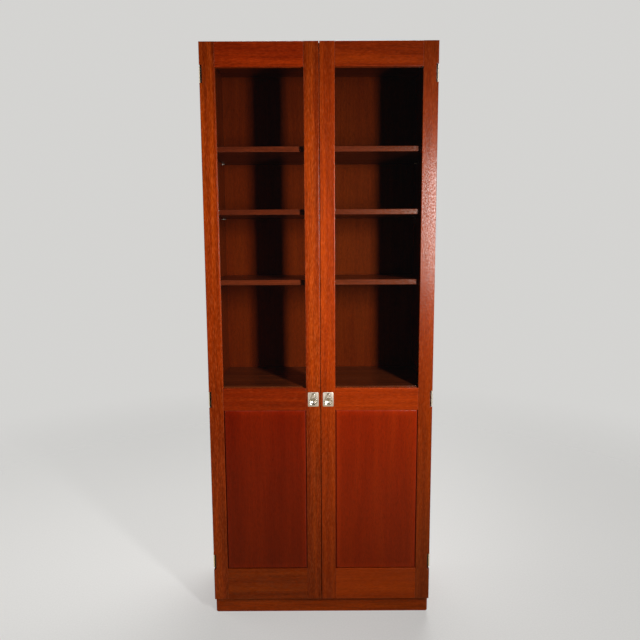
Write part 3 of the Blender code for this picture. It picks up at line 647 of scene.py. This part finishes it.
def knuckle(bm, place, top, bottom, bore):
    """One knuckle with eased ends, bored if it turns on the pin."""
    edge = KNUCKLE_EDGE
    profile = [(KNUCKLE - edge, top), (KNUCKLE - edge / 3, top - edge / 3), (KNUCKLE, top - edge)]
    profile += [(KNUCKLE, bottom + edge), (KNUCKLE - edge / 3, bottom + edge / 3)]
    profile.append((KNUCKLE - edge, bottom))
    if bore:
        profile += [(bore, bottom), (bore, top), (KNUCKLE - edge, top)]
    else:
        profile = [(0.0, top)] + profile + [(0.0, bottom)]
    turned(bm, profile, place, sides=40)


def leaf_outline(side, on_door):
    """The leaf's edge: two rounded far corners and gaps beside the other leaf's knuckles."""
    half = HINGE_HALF - KNUCKLE_GAP
    far = -side * LEAF_FAR
    near = -side * LEAF_NEAR
    clear = -side * (KNUCKLE + 2 * KNUCKLE_GAP)
    points = []
    for vertical in (1, -1):
        corner = (far + side * LEAF_CORNER, vertical * (half - LEAF_CORNER))
        arc = []
        for i in range(7):
            angle = math.pi / 2 * i / 6
            x = corner[0] - side * LEAF_CORNER * math.sin(angle)
            arc.append((x, corner[1] + vertical * LEAF_CORNER * math.cos(angle)))
        points += arc if vertical > 0 else arc[::-1]
    for i in reversed(range(KNUCKLES)):
        mine = (i % 2 == 1) == on_door
        x = near if mine else clear
        shift = 0.0 if mine else KNUCKLE_GAP
        low = HINGE_HALF - (i + 1) * KNUCKLE_PITCH - shift
        high = HINGE_HALF - i * KNUCKLE_PITCH + shift
        points += [(x, max(-half, low)), (x, min(half, high))]
    return points


def hinge_leaf(name, centre, side, on_door):
    """One leaf with every second knuckle, and with the fixed pin if it is the case's."""
    holes = [(-side * x, z, SCREW_HOLE) for x, z in LEAF_SCREWS]
    plate = cut_plate(name, leaf_outline(side, on_door), holes, LEAF_THICKNESS, LEAF_EDGE)
    middle = (-1 if on_door else 1) * (LEAF_OFFSET + LEAF_THICKNESS / 2)
    bm = bmesh.new()
    add_welded(bm, plate, Matrix.Translation(centre + Vector((0.0, middle, 0.0))))
    bore = HINGE_PIN + KNUCKLE_GAP if on_door else 0.0
    for i in range(int(on_door), KNUCKLES, 2):
        top = HINGE_HALF - i * KNUCKLE_PITCH
        bottom = HINGE_HALF - (i + 1) * KNUCKLE_PITCH
        if i > 0:
            top -= KNUCKLE_GAP / 2
        if i < KNUCKLES - 1:
            bottom += KNUCKLE_GAP / 2
        knuckle(bm, centre, top, bottom, bore)
    if not on_door:
        reach = HINGE_HALF + PIN_PROUD
        pin = [(0.0, reach), (HINGE_PIN * PIN_TAPER, reach), (HINGE_PIN, reach - PIN_PROUD)]
        pin += [(radius, -height) for radius, height in pin[::-1]]
        turned(bm, pin, centre, sides=24)
    return mesh_of(name, bm, crease=20)


joints = {joint["name"]: joint for joint in frame["joints"]}
steel = metal("plain_steel", STEEL, STEEL_ROUGHNESS, STEEL_SCRATCHES)
# The hinges' steel carries painted shade in the crook
hinge_steel = metal("hinge_steel", HINGE_STEEL, STEEL_ROUGHNESS, STEEL_SCRATCHES, crook_shade)
screw_places = {body: [] for body in ("case", "left_door", "right_door")}
for hand, side in HANDS.items():
    axis = joints[hand + "_door_hinge"]["pos_m"]
    for level in ("top", "middle", "bottom"):
        for holder, body in (("case", "case"), ("door", hand + "_door")):
            name = hand + "_" + holder + "_hinge_leaf_" + level
            low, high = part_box(name)
            centre = Vector((axis[0], axis[1], (low.z + high.z) / 2))
            leaf = hinge_leaf(name, centre, side, holder == "door")
            settle("fine_" + name, leaf, hinge_steel, body, "steel", name)
            way = 1 if holder == "door" else -1
            for x, z in LEAF_SCREWS:
                y = centre.y - way * LEAF_OFFSET
                spot = Vector((centre.x - side * x, y, centre.z + z))
                screw_places[body].append((spot, Vector((0.0, way, 0.0))))


# Flush ring pulls
# A nickel-plated plate, 38 by 52 mm, let into each meeting stile one millimetre proud, with a
# round dish for a finger. A pear-shaped ring lies in its own groove and swings on a pin.

PLATE_HALF = (0.019, 0.026)
PLATE_THICKNESS = 0.0035
PLATE_CORNER = 0.003
PLATE_EASE = 0.00035
DISH_RADIUS = 0.012
DISH_DEPTH = 0.009
DISH_DROP = 0.0072
CUP_WALL = 0.0015
CUP_EASE = 0.001
RING_RADIUS = 0.013
RING_WIRE = 0.0015
RING_PLAY = 0.0003
RING_STEPS = 64
GROOVE_PLAY = 0.0006
RING_NECK = 0.0022
PIVOT_RISE = 0.0203
BARREL = 0.0017
BARREL_HALF = 0.0045
BARREL_EDGE = 0.0004
RING_PIN = 0.0007
RING_PIN_LET_IN = 0.0005
RIM_FACE = 0.0001
FRONTWARD = Matrix.Rotation(math.pi / 2, 4, "X")
SIDEWAYS = Matrix.Rotation(math.pi / 2, 4, "Y")
NICKEL = (0.82, 0.735, 0.64)
WORN_NICKEL = (0.84, 0.79, 0.72)
DARK_NICKEL = (0.10, 0.09, 0.06)
BRUSHING = (900.0, 900.0, 9000.0)
WEAR = (3000.0, 3000.0, 3000.0)

# How far one solid reaches past another where they are joined or cut
PAST = 0.001


def pear_line(steps):
    """The ring's middle line about its pivot: round the dish, then in to a narrow neck."""
    rise = PIVOT_RISE + DISH_DROP
    start = math.atan2(rise, RING_NECK) - math.acos(RING_RADIUS / math.hypot(RING_NECK, rise))
    sweep = math.pi + 2 * start
    shoulder = []
    for i in range(4):
        x = RING_NECK + i / 4 * (RING_RADIUS * math.cos(start) - RING_NECK)
        shoulder.append((x, i / 4 * (RING_RADIUS * math.sin(start) - rise)))
    bow = []
    for i in range(steps + 1):
        angle = start - sweep * i / steps
        bow.append((RING_RADIUS * math.cos(angle), RING_RADIUS * math.sin(angle) - rise))
    return shoulder + bow + [(-x, z) for x, z in shoulder[::-1]]


def pear_tube(name, radius, pivot):
    """A closed round tube along the ring's middle line."""
    curve = bpy.data.curves.new(name, "CURVE")
    curve.dimensions = "3D"
    curve.bevel_depth = radius
    curve.bevel_resolution = 6
    line = [(pivot.x + x, pivot.y, pivot.z + z) for x, z in pear_line(RING_STEPS)]
    bm = bmesh.new()
    bm.from_mesh(curve_mesh(curve, line))
    bmesh.ops.remove_doubles(bm, verts=bm.verts, dist=0.00001)
    return mesh_of(name, bm)


def carve(base, *steps):
    """Join and cut solids in order: each step is an operation and a mesh."""
    item = new_object("carved", base)
    for operation, mesh in steps:
        other = new_object("tool", mesh)
        step = item.modifiers.new(operation, "BOOLEAN")
        step.operation = operation
        step.solver = "EXACT"
        step.object = other
        result = plain_mesh(item)
        item.modifiers.clear()
        item.data = result
        bpy.data.objects.remove(other, do_unlink=True)
    result = item.data
    bpy.data.objects.remove(item, do_unlink=True)
    result.shade_smooth()
    result.set_sharp_from_angle(angle=math.radians(28))
    return result


def block(name, x_span, y_span, z_span, ease=0.0, corner=0.0):
    """A box, its edges along Y rounded by corner and its front edges by ease."""
    bm = bmesh.new()
    centre = [sum(span) / 2 for span in (x_span, y_span, z_span)]
    size = [abs(span[1] - span[0]) for span in (x_span, y_span, z_span)]
    fit = Matrix.Translation(centre) @ Matrix.Diagonal((*size, 1.0))
    bmesh.ops.create_cube(bm, size=1.0, matrix=fit)
    if corner:
        along = [e for e in bm.edges if abs(e.verts[0].co.y - e.verts[1].co.y) > 1e-5]
        bmesh.ops.bevel(bm, geom=along, offset=corner, segments=8, profile=0.5, affect="EDGES")
    if ease:
        front = min(vert.co.y for vert in bm.verts)
        rim = [e for e in bm.edges if max(abs(v.co.y - front) for v in e.verts) < 1e-6]
        bmesh.ops.bevel(bm, geom=rim, offset=ease, segments=3, profile=0.5, affect="EDGES")
    return mesh_of(name, bm, smooth=False)


def about(middle, half):
    """The span that reaches as far to both sides of its middle."""
    return (middle - half, middle + half)


def turned_piece(name, profile, place, turn=None, sides=32, smooth=True):
    """A turned solid as a mesh of its own."""
    bm = bmesh.new()
    turned(bm, profile, place, turn, sides)
    return mesh_of(name, bm, smooth)


def dish_cup(dish):
    """The outside of the cup behind the plate."""
    radius = DISH_RADIUS + CUP_WALL
    reach = DISH_DEPTH + CUP_WALL
    profile = [(0.0, -PAST), (radius, -PAST), (radius, CUP_EASE - reach)]
    profile += [(radius - CUP_EASE, -reach), (0.0, -reach)]
    return turned_piece("cup", profile, dish, FRONTWARD, 64, smooth=False)


def dish_hollow(dish):
    """The ball that the dish is spun over: it meets the plate's face at the dish's rim."""
    ball = (DISH_RADIUS ** 2 + DISH_DEPTH ** 2) / (2 * DISH_DEPTH)
    place = Matrix.Translation((dish.x, dish.y + DISH_DEPTH - ball, dish.z)) @ FRONTWARD
    bm = bmesh.new()
    bmesh.ops.create_uvsphere(bm, u_segments=72, v_segments=36, radius=ball, matrix=place)
    return mesh_of("hollow", bm, smooth=False)


def pull_plate(name, pivot, front, dish):
    """The plate with its cup, its dish, the ring's groove, and a pocket with the ring's pin."""
    centre_z = pivot.z - PIVOT_RISE
    plate = block(
        name, about(pivot.x, PLATE_HALF[0]), (front, front + PLATE_THICKNESS),
        about(centre_z, PLATE_HALF[1]), PLATE_EASE, PLATE_CORNER,
    )
    pocket_half = BARREL_HALF + RING_PLAY
    pocket = block(
        "pocket", about(pivot.x, pocket_half), (front - PAST, pivot.y + BARREL + RING_PLAY),
        about(pivot.z, BARREL + 2 * RING_PLAY),
    )
    pin_half = pocket_half + RING_PIN_LET_IN
    pin = [(0.0, pin_half), (RING_PIN, pin_half), (RING_PIN, -pin_half), (0.0, -pin_half)]
    return carve(
        plate,
        ("UNION", dish_cup(dish)),
        ("DIFFERENCE", dish_hollow(dish)),
        ("DIFFERENCE", pear_tube("groove", RING_WIRE + GROOVE_PLAY, pivot)),
        ("DIFFERENCE", pocket),
        ("UNION", turned_piece("pin", pin, pivot, SIDEWAYS, 16, smooth=False)),
    )


def pull_ring(name, pivot):
    """The ring, bent from round wire, and the barrel that turns on the pin."""
    half, edge = BARREL_HALF, BARREL_EDGE
    barrel = [(0.0, half), (BARREL - edge, half), (BARREL, half - edge)]
    barrel += [(radius, -height) for radius, height in barrel[::-1]]
    bm = bmesh.new()
    turned(bm, barrel, pivot, SIDEWAYS)
    bm.from_mesh(pear_tube("ring", RING_WIRE, pivot))
    return mesh_of(name, bm)


nickel = metal("satin_nickel", NICKEL, roughness=0.47, scratches=BRUSHING)
worn_nickel = metal("worn_nickel", WORN_NICKEL, roughness=0.26, scratches=WEAR)
grimy_nickel = metal("grimy_nickel", DARK_NICKEL, roughness=0.60, scratches=WEAR)
for hand in HANDS:
    name = hand + "_pull_plate"
    pivot = Vector(joints[hand + "_ring_pivot"]["pos_m"])
    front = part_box(name)[0].y
    dish = Vector((pivot.x, front, pivot.z - PIVOT_RISE - DISH_DROP))
    plate = pull_plate(name, pivot, front, dish)
    settle("fine_" + name, plate, nickel, hand + "_door", "nickel", name)
    plate.materials.append(worn_nickel)
    plate.materials.append(grimy_nickel)
    # The faces set back from the plate's front are dark nickel, save those in the dish, which are
    # worn nickel
    for face in plate.polygons:
        if face.center.y > front + PLATE_EASE + RIM_FACE:
            from_dish = math.hypot(face.center.x - dish.x, face.center.z - dish.z)
            face.material_index = 1 if from_dish < RING_RADIUS - RING_WIRE - RING_PLAY else 2
    name = hand + "_pull_ring"
    ring = pull_ring(name, pivot)
    settle("fine_" + name, ring, worn_nickel, hand + "_ring", "nickel", name)


# Shelf pins
# Twelve turned steel pins, 5 mm thick with a thin collar, pushed into the sides' rows of holes.
# The three upper shelves lie on four of them each.

PIN_IN_SIDE = 0.010
PIN_RADIUS = 0.0025
PIN_SUNK = 0.009
PIN_REACH = 0.008
PIN_EASE = 0.0006
PIN_COLLAR = 0.0036
COLLAR_THICKNESS = 0.001
PIN_PROFILE = [
    (0.0, PIN_SUNK), (PIN_RADIUS, PIN_SUNK), (PIN_RADIUS, 0.0), (PIN_COLLAR, 0.0),
    (PIN_COLLAR, -COLLAR_THICKNESS), (PIN_RADIUS, -COLLAR_THICKNESS),
    (PIN_RADIUS, PIN_EASE - PIN_REACH), (PIN_RADIUS - PIN_EASE, -PIN_REACH), (0.0, -PIN_REACH),
]

pin_nodes = sorted(name for name in nodes if "_shelf_pin_" in name)
bm = bmesh.new()
for name in pin_nodes:
    low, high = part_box(name)
    side = -1 if name.endswith("left") else 1
    mouth = low.x + PIN_IN_SIDE if side < 0 else high.x - PIN_IN_SIDE
    place = Vector((mouth, (low.y + high.y) / 2, (low.z + high.z) / 2))
    turned(bm, PIN_PROFILE, place, Matrix.Rotation(side * math.pi / 2, 4, "Y"), 24)
settle("shelf_pins", mesh_of("shelf_pins", bm), steel, "case", "steel", *pin_nodes)


# Magnetic catch
# A double catch screwed up under the top panel behind the doors' top rails: a pressed case that
# holds a ferrite magnet between two steel plates for each door, and a strike plate on each door.

SHELL_SETBACK = 0.0012
SHELL_EASE = 0.0006
SHELL_CORNER = 0.002
POLE_PLACE = 0.012
POLE_HALF = 0.007
POLE_THICKNESS = 0.0012
POLE_APART = 0.0038
POLE_EASE = 0.0003
POLE_BURIED = 0.002
MAGNET_INSET = 0.001
MAGNET_SETBACK = 0.0006
CATCH_SCREW = 0.0215
STRIKE_PLACE = 0.0135
STRIKE_HALF = (0.009, 0.006)
STRIKE_THICKNESS = 0.0008
STRIKE_CORNER = 0.0015
FERRITE_TONES = ((0.020, 0.019, 0.019, 1.0), (0.050, 0.047, 0.045, 1.0))
FERRITE_ROUGHNESS = 0.65
FERRITE_GRAIN = (2500.0, 2500.0, 2500.0)
FERRITE_RELIEF = (0.3, 0.00004)


def ferrite_finish():
    """Fired ferrite: nearly black, dull, with a fine grain."""
    finish, tree, shader = new_finish("ferrite")
    place = add(tree, "ShaderNodeTexCoord").outputs["Object"]
    grain = drawn_noise(tree, place, FERRITE_GRAIN)
    fill(tree, shader, {
        "Base Color": mixed(tree, grain, *FERRITE_TONES),
        "Roughness": FERRITE_ROUGHNESS,
        "Normal": bumped(tree, *FERRITE_RELIEF, grain),
    })
    return finish


def add_block(bm, *spans, **edges):
    """Add a box to a bmesh."""
    mesh = block("block", *spans, **edges)
    bm.from_mesh(mesh)
    bpy.data.meshes.remove(mesh)


low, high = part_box("magnetic_catch")
shell = (low.y + SHELL_SETBACK, high.y)
buried = shell[0] + POLE_BURIED
pole_z = (low.z + high.z) / 2
bm = bmesh.new()
magnets = bmesh.new()
add_block(bm, (low.x, high.x), shell, (low.z, high.z), ease=SHELL_EASE, corner=SHELL_CORNER)
for side in HANDS.values():
    for step in (-1, 1):
        pole = about(pole_z + step * POLE_APART / 2, POLE_THICKNESS / 2)
        add_block(bm, about(side * POLE_PLACE, POLE_HALF), (low.y, buried), pole, ease=POLE_EASE)
    add_block(
        magnets, about(side * POLE_PLACE, POLE_HALF - MAGNET_INSET),
        (low.y + MAGNET_SETBACK, buried), about(pole_z, (POLE_APART - POLE_THICKNESS) / 2),
    )
    spot = Vector((side * CATCH_SCREW, sum(shell) / 2, low.z))
    screw_places["case"].append((spot, Vector((0.0, 0.0, -1.0))))
case = mesh_of("catch_case", bm, crease=20)
settle("catch_case", case, steel, "case", "steel", "magnetic_catch")
settle("catch_magnets", mesh_of("catch_magnets", magnets), ferrite_finish(), "case", "steel")
for hand, side in HANDS.items():
    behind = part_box(hand + "_door_top_rail")[1].y
    centre = Vector((side * STRIKE_PLACE, behind + STRIKE_THICKNESS, pole_z))
    bm = bmesh.new()
    add_block(
        bm, about(centre.x, STRIKE_HALF[0]), (behind, centre.y), about(centre.z, STRIKE_HALF[1]),
        corner=STRIKE_CORNER,
    )
    name = hand + "_strike_plate"
    settle(name, mesh_of(name, bm), steel, hand + "_door", "steel")
    screw_places[hand + "_door"].append((centre, Vector((0.0, 1.0, 0.0))))


# Glazing beads
# Four mitred mahogany beads hold each pane from behind, 7.7 by 6.4 mm with a rounded inner
# corner, fixed with fine brads.

BEAD_WIDTH = 0.0077
BEAD_ROUND = 0.0042
BEAD_EASE = 0.0005
BEAD_GLOSS = 0.4
MITRE_GAP = 0.00012
BRAD_PITCH = 0.155
BRAD_INSET = 0.0022
BRAD_ENDS = (0.03, 0.03)
BRADS_ACROSS = 3


def bead_profile(depth):
    """The bead's section: how far in from the rebate, and how far back from the glass."""
    points = [(0.0, 0.0), (BEAD_WIDTH, 0.0), (BEAD_WIDTH, depth - BEAD_ROUND)]
    for i in range(1, 9):
        angle = math.pi / 2 * i / 8
        points.append((
            BEAD_WIDTH - BEAD_ROUND + BEAD_ROUND * math.cos(angle),
            depth - BEAD_ROUND + BEAD_ROUND * math.sin(angle),
        ))
    return points + [(BEAD_EASE, depth), (0.0, depth - BEAD_EASE)]


def lay_bead(bm, low, high, wall, wood):
    """One bead along a side of the opening: x_low, x_high, z_low or z_high."""
    profile = bead_profile(high.y - low.y)
    ends = []
    for start in (True, False):
        row = []
        for inset, back in profile:
            along = inset + MITRE_GAP
            if wall[0] == "x":
                x = low.x + inset if wall == "x_low" else high.x - inset
                z = low.z + along if start else high.z - along
            else:
                z = low.z + inset if wall == "z_low" else high.z - inset
                x = low.x + along if start else high.x - along
            row.append(bm.verts.new((x, low.y + back, z)))
        ends.append(row)
    faces = [bm.faces.new(ends[0]), bm.faces.new(ends[1][::-1])]
    for i in range(len(profile)):
        j = (i + 1) % len(profile)
        faces.append(bm.faces.new((ends[0][i], ends[0][j], ends[1][j], ends[1][i])))
    for face in faces:
        face.material_index = wood


def spaced(low, high, inset, count):
    """Even steps between two ends, the first and the last an inset away from them."""
    return [low + inset + (high - low - 2 * inset) * i / (count - 1) for i in range(count)]


def round_the_back(low, high, inset, ends, counts):
    """Places along a rear face's four edges, each with the way that it faces.

    Ends and counts are for the level edges, then for the upright ones.
    """
    spots = []
    for z in spaced(low.z, high.z, ends[1], counts[1]):
        spots += [(low.x + inset, z), (high.x - inset, z)]
    for x in spaced(low.x, high.x, ends[0], counts[0]):
        spots += [(x, low.z + inset), (x, high.z - inset)]
    return [(Vector((x, high.y, z)), Vector((0.0, 1.0, 0.0))) for x, z in spots]


brad_places = {}
for number, hand in enumerate(HANDS):
    name = hand + "_door_glazing_bead"
    low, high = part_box(name)
    bm = bmesh.new()
    for wall in ("x_low", "x_high", "z_low", "z_high"):
        lay_bead(bm, low, high, wall, 0 if wall[0] == "x" else 1)
    woods = []
    for way, along, cut in (("_upright_wood", "Z", 45.0), ("_level_wood", "X", 48.0)):
        cut += 3.3 * number
        woods.append(mahogany(name + way, FRAME_TONES, along, cut, gloss=BEAD_GLOSS))
    beads = mesh_of(name, bm)
    settle("fine_" + name, beads, woods[0], hand + "_door", "frame_wood", name)
    beads.materials.append(woods[1])
    counts = (BRADS_ACROSS, int((high.z - low.z) / BRAD_PITCH) + 1)
    brad_places[hand + "_door"] = round_the_back(low, high, BRAD_INSET, BRAD_ENDS, counts)


# Screws and brads
# Slotted countersunk steel screws in the leaves, the catch and the strike plates, low
# round-headed ones round the back panel, and brads in the beads.

COUNTERSUNK = [
    (0.0, 0.00005), (0.0024, 0.00005), (0.00272, -0.0001), (0.0027, -0.0003), (0.0013, -0.0014),
    (0.0, -0.0014),
]
ROUND_HEAD = [
    (0.0, 0.0009), (0.0012, 0.00084), (0.0022, 0.0006), (0.0028, 0.0002), (0.0029, -0.0001),
    (0.0014, -0.0003), (0.0, -0.0003),
]
BRAD = [(0.0, 0.00012), (0.0005, 0.0001), (0.0006, -0.0001), (0.0, -0.0003)]
SLOT_HALF = 0.0003
SCREW_SLOT = 0.0007
BACK_SCREW_SLOT = 0.0005
BACK_INSET = 0.0055
BACK_ENDS = (0.1, 0.05)
BACK_COUNTS = (4, 9)
SCREW_SEED = 11
BRAD_SEED = 21
BACK_SEED = 31


def set_on_tree(name):
    """A part set on every point, upright on the way the point faces and turned at random.

    It comes with the identifiers of its inputs for the part, the seed and the finish.
    """
    tree = bpy.data.node_groups.new(name, "GeometryNodeTree")
    inputs = []
    for label, kind in (
        ("Geometry", "Geometry"), ("Part", "Object"), ("Seed", "Int"), ("Finish", "Material"),
    ):
        kind = "NodeSocket" + kind
        inputs.append(tree.interface.new_socket(label, in_out="INPUT", socket_type=kind))
    tree.interface.new_socket("Geometry", in_out="OUTPUT", socket_type="NodeSocketGeometry")
    given = tree.nodes.new("NodeGroupInput").outputs
    facing = add(tree, "GeometryNodeInputNamedAttribute", "facing", data_type="FLOAT_VECTOR")
    upright = add(tree, "FunctionNodeAlignRotationToVector", axis="Z")
    feed(tree, upright.inputs["Vector"], facing)
    shape = tree.nodes.new("GeometryNodeObjectInfo")
    feed(tree, shape.inputs["Object"], given["Part"])
    copies = tree.nodes.new("GeometryNodeInstanceOnPoints")
    fill(tree, copies, {
        "Points": given["Geometry"], "Instance": shape.outputs["Geometry"], "Rotation": upright,
    })
    spin = tree.nodes.new("FunctionNodeRandomValue")
    feed(tree, spin.inputs["Seed"], given["Seed"])
    spin.inputs[3].default_value = 2 * math.pi
    angles = add(tree, "ShaderNodeCombineXYZ")
    feed(tree, angles.inputs["Z"], spin.outputs[1])
    twisted = tree.nodes.new("GeometryNodeRotateInstances")
    fill(tree, twisted, {"Instances": copies, "Rotation": angles})
    solid = add(tree, "GeometryNodeRealizeInstances", twisted)
    painted = tree.nodes.new("GeometryNodeSetMaterial")
    fill(tree, painted, {"Geometry": solid, "Material": given["Finish"]})
    add(tree, "NodeGroupOutput", painted)
    return tree, [socket.identifier for socket in inputs[1:]]


def set_on(name, places, part, finish, body, seed):
    """Small like parts set on a body by Geometry Nodes, then made one plain mesh."""
    points = bpy.data.meshes.new(name + "_points")
    points.from_pydata([tuple(spot) for spot, way in places], [], [])
    ways = points.attributes.new("facing", "FLOAT_VECTOR", "POINT")
    for entry, (spot, way) in zip(ways.data, places):
        entry.vector = way
    holder = new_object(name, points)
    pattern = new_object(name + "_part", part)
    step = holder.modifiers.new("set_on", "NODES")
    step.node_group, identifiers = set_on_tree(name)
    for identifier, value in zip(identifiers, (pattern, seed, finish)):
        step[identifier] = value
    mesh = plain_mesh(holder)
    for item in (holder, pattern):
        bpy.data.objects.remove(item, do_unlink=True)
    mesh.name = name
    settle(name, mesh, finish, body, "steel")


def slotted_head(name, profile, slot_depth):
    """A turned head with a screwdriver slot across it, its seat at height 0."""
    head = turned_piece(name, profile, Vector(), sides=28)
    top = profile[0][1]
    reach = max(radius for radius, height in profile) + PAST
    groove = block("slot", (-reach, reach), (-SLOT_HALF, SLOT_HALF), (top - slot_depth, top + PAST))
    return carve(head, ("DIFFERENCE", groove))


for number, (body, places) in enumerate(screw_places.items()):
    head = slotted_head("countersunk", COUNTERSUNK, SCREW_SLOT)
    set_on(body + "_hinge_screws", places, head, steel, body, SCREW_SEED + number)
for number, (body, places) in enumerate(brad_places.items()):
    brad = turned_piece("brad", BRAD, Vector(), sides=12)
    set_on(body + "_brads", places, brad, steel, body, BRAD_SEED + number)

low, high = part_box("back_panel")
places = round_the_back(low, high, BACK_INSET, BACK_ENDS, BACK_COUNTS)
head = slotted_head("round_head", ROUND_HEAD, BACK_SCREW_SLOT)
set_on("back_screws", places, head, steel, "case", BACK_SEED)


# Studio floor, background and cards
# A pale floor that fades into an even pale background, and glows a dim warm colour where
# lacquer, metal or glass mirrors it. A pale card glows on each side of the cabinet and shows
# only where lacquer, metal or glass mirrors it.

PALE = (0.66, 0.655, 0.64)
FLOOR_REACH = 4.5
FLOOR_FADE = (1.1, 3.6)
FLOOR_GRIT = (160.0, 160.0, 160.0)
FLOOR_SEEN = ((0.29, 0.287, 0.278, 1.0), (0.33, 0.327, 0.317, 1.0))
FLOOR_UNSEEN = (0.48, 0.38, 0.24, 1.0)
FLOOR_ROUGHNESS = 0.85
GLOW_SEEN = (*(0.64 * part for part in PALE), 1.0)
# The floor's dim warm glow where lacquer, metal or glass mirrors it
GLOW_MIRRORED = (0.22, 0.18, 0.06, 1.0)
SKY = (0.95, 0.98, 1.0, 1.0)
SKY_LIGHT = 0.06
SKY_MIRRORED = 0.02
CARD_REACH = 2.9
CARD_SPAN = (-5.4, 2.2)
CARD_HEIGHT = 3.6
CARD_GLOW = ((0.85, 0.75, 0.62, 1.0), 1.25)


def seen_straight(tree, rays):
    """Whether a ray comes from the camera, through the panes or past them, with no bounce."""
    bounces = calculate(tree, "ADD", rays.outputs["Diffuse Depth"], rays.outputs["Glossy Depth"])
    unbounced = calculate(tree, "LESS_THAN", bounces, 0.5)
    through = product(tree, rays.outputs["Is Transmission Ray"], unbounced)
    return calculate(tree, "MAXIMUM", rays.outputs["Is Camera Ray"], through)


finish, tree, shader = new_finish("pale_floor")
place = add(tree, "ShaderNodeTexCoord").outputs["Object"]
rays = add(tree, "ShaderNodeLightPath")
looked_at = seen_straight(tree, rays)
grit = spread(tree, drawn_noise(tree, place, FLOOR_GRIT, 3.0), *MIDDLE)
fill(tree, shader, {
    "Base Color": mixed(tree, looked_at, FLOOR_UNSEEN, mixed(tree, grit, *FLOOR_SEEN)),
    "Roughness": FLOOR_ROUGHNESS,
    "Emission Color": mixed(tree, looked_at, GLOW_MIRRORED, GLOW_SEEN),
    "Emission Strength": calculate(tree, "MAXIMUM", looked_at, rays.outputs["Is Glossy Ray"]),
})
fade = spread(tree, reckon(tree, "LENGTH", place).outputs["Value"], *FLOOR_FADE)
fade.interpolation_type = "SMOOTHSTEP"
clear = tree.nodes.new("ShaderNodeBsdfTransparent")
join(tree, add(tree, "ShaderNodeMixShader", fade, shader, clear))
finish.cycles.emission_sampling = "NONE"
bm = bmesh.new()
bmesh.ops.create_circle(bm, cap_ends=True, segments=96, radius=FLOOR_REACH)
floor_mesh = bpy.data.meshes.new("floor")
bm.to_mesh(floor_mesh)
bm.free()
floor_mesh.materials.append(finish)
floor = new_object("floor", floor_mesh)

world = bpy.data.worlds.new("studio")
world.use_nodes = True
tree = world.node_tree
tree.nodes.clear()
rays = add(tree, "ShaderNodeLightPath")
soft = add(tree, "ShaderNodeBackground", SKY, SKY_LIGHT)
glossy = add(tree, "ShaderNodeBackground", SKY, SKY_MIRRORED)
pale = add(tree, "ShaderNodeBackground", (*PALE, 1.0), 1.0)
lit = add(tree, "ShaderNodeMixShader", rays.outputs["Is Glossy Ray"], soft, glossy)
sky = add(tree, "ShaderNodeMixShader", seen_straight(tree, rays), lit, pale)
add(tree, "ShaderNodeOutputWorld", sky)
bpy.context.scene.world = world

finish, tree, shader = new_finish("pale_card")
tree.nodes.remove(shader)
rays = add(tree, "ShaderNodeLightPath")
mirrored = calculate(tree, "SUBTRACT", rays.outputs["Is Glossy Ray"], seen_straight(tree, rays))
mirrored = calculate(tree, "GREATER_THAN", mirrored, 0.5)
clear = tree.nodes.new("ShaderNodeBsdfTransparent")
glow = add(tree, "ShaderNodeEmission", *CARD_GLOW)
join(tree, add(tree, "ShaderNodeMixShader", mirrored, clear, glow))
finish.cycles.emission_sampling = "NONE"
for hand, side in HANDS.items():
    near, far = CARD_SPAN
    corners = ((near, 0.0), (far, 0.0), (far, CARD_HEIGHT), (near, CARD_HEIGHT))
    card_mesh = bpy.data.meshes.new(hand + "_card")
    card_mesh.from_pydata([(side * CARD_REACH, y, z) for y, z in corners], [], [(0, 1, 2, 3)])
    card_mesh.materials.append(finish)
    card = new_object(hand + "_card", card_mesh)


# Studio lamps and camera
# A tall soft lamp stands close to the right of the camera, and light linking keeps it out of the
# panes. Large weak lamps light the rear, the left side and the top. The camera is at eye level.


def soft_lamp(name, place, aim, size, power, beam=180.0):
    """A rectangular soft lamp turned to a point, its beam in degrees."""
    lamp = bpy.data.lights.new(name, "AREA")
    lamp.shape = "RECTANGLE"
    lamp.size, lamp.size_y = size
    lamp.energy = power
    lamp.spread = math.radians(beam)
    holder = new_object(name, lamp)
    way = (Vector(aim) - Vector(place)).to_track_quat("-Z", "Y")
    holder.matrix_world = Matrix.Translation(place) @ way.to_matrix().to_4x4()
    holder.visible_camera = False
    holder.visible_transmission = False
    return holder


key_lamp = soft_lamp(
    "key_lamp", (0.84, -1.625, 1.50), (-0.10, -0.18, 1.20), (0.15, 0.70), 11.5, 88.0,
)
panes = bpy.data.collections.new("panes")
for hand in HANDS:
    panes.objects.link(nodes[hand + "_door_glass"])
key_lamp.light_linking.receiver_collection = panes
for link in panes.collection_objects:
    link.light_linking.link_state = "EXCLUDE"
soft_lamp("rear_lamp", (0.8, 3.0, 1.9), (0.0, 0.2, 0.9), (1.6, 1.6), 30.0)
side_lamp = soft_lamp("side_lamp", (-2.9, 0.6, 1.8), (-0.4, 0.0, 0.9), (1.4, 1.6), 22.0)
side_lamp.visible_glossy = False
soft_lamp("top_lamp", (0.3, 1.1, 4.2), (0.0, 0.1, 2.0), (1.6, 1.6), 30.0, 90.0)

CAMERA_PLACE = (-0.001, -2.2327, 1.384)
CAMERA_DOWN = math.radians(7.395)
CAMERA_ROLL = math.radians(-0.304)
camera_data = bpy.data.cameras.new("camera")
camera_data.lens = 33.03
camera_data.sensor_width = 36.0
camera = new_object("camera", camera_data)
tilt = Matrix.Rotation(math.pi / 2 - CAMERA_DOWN, 4, "X")
roll = Matrix.Rotation(CAMERA_ROLL, 4, "Z")
camera.matrix_world = Matrix.Translation(CAMERA_PLACE) @ tilt @ roll
bpy.context.scene.camera = camera
bpy.context.scene.view_settings.view_transform = "Standard"
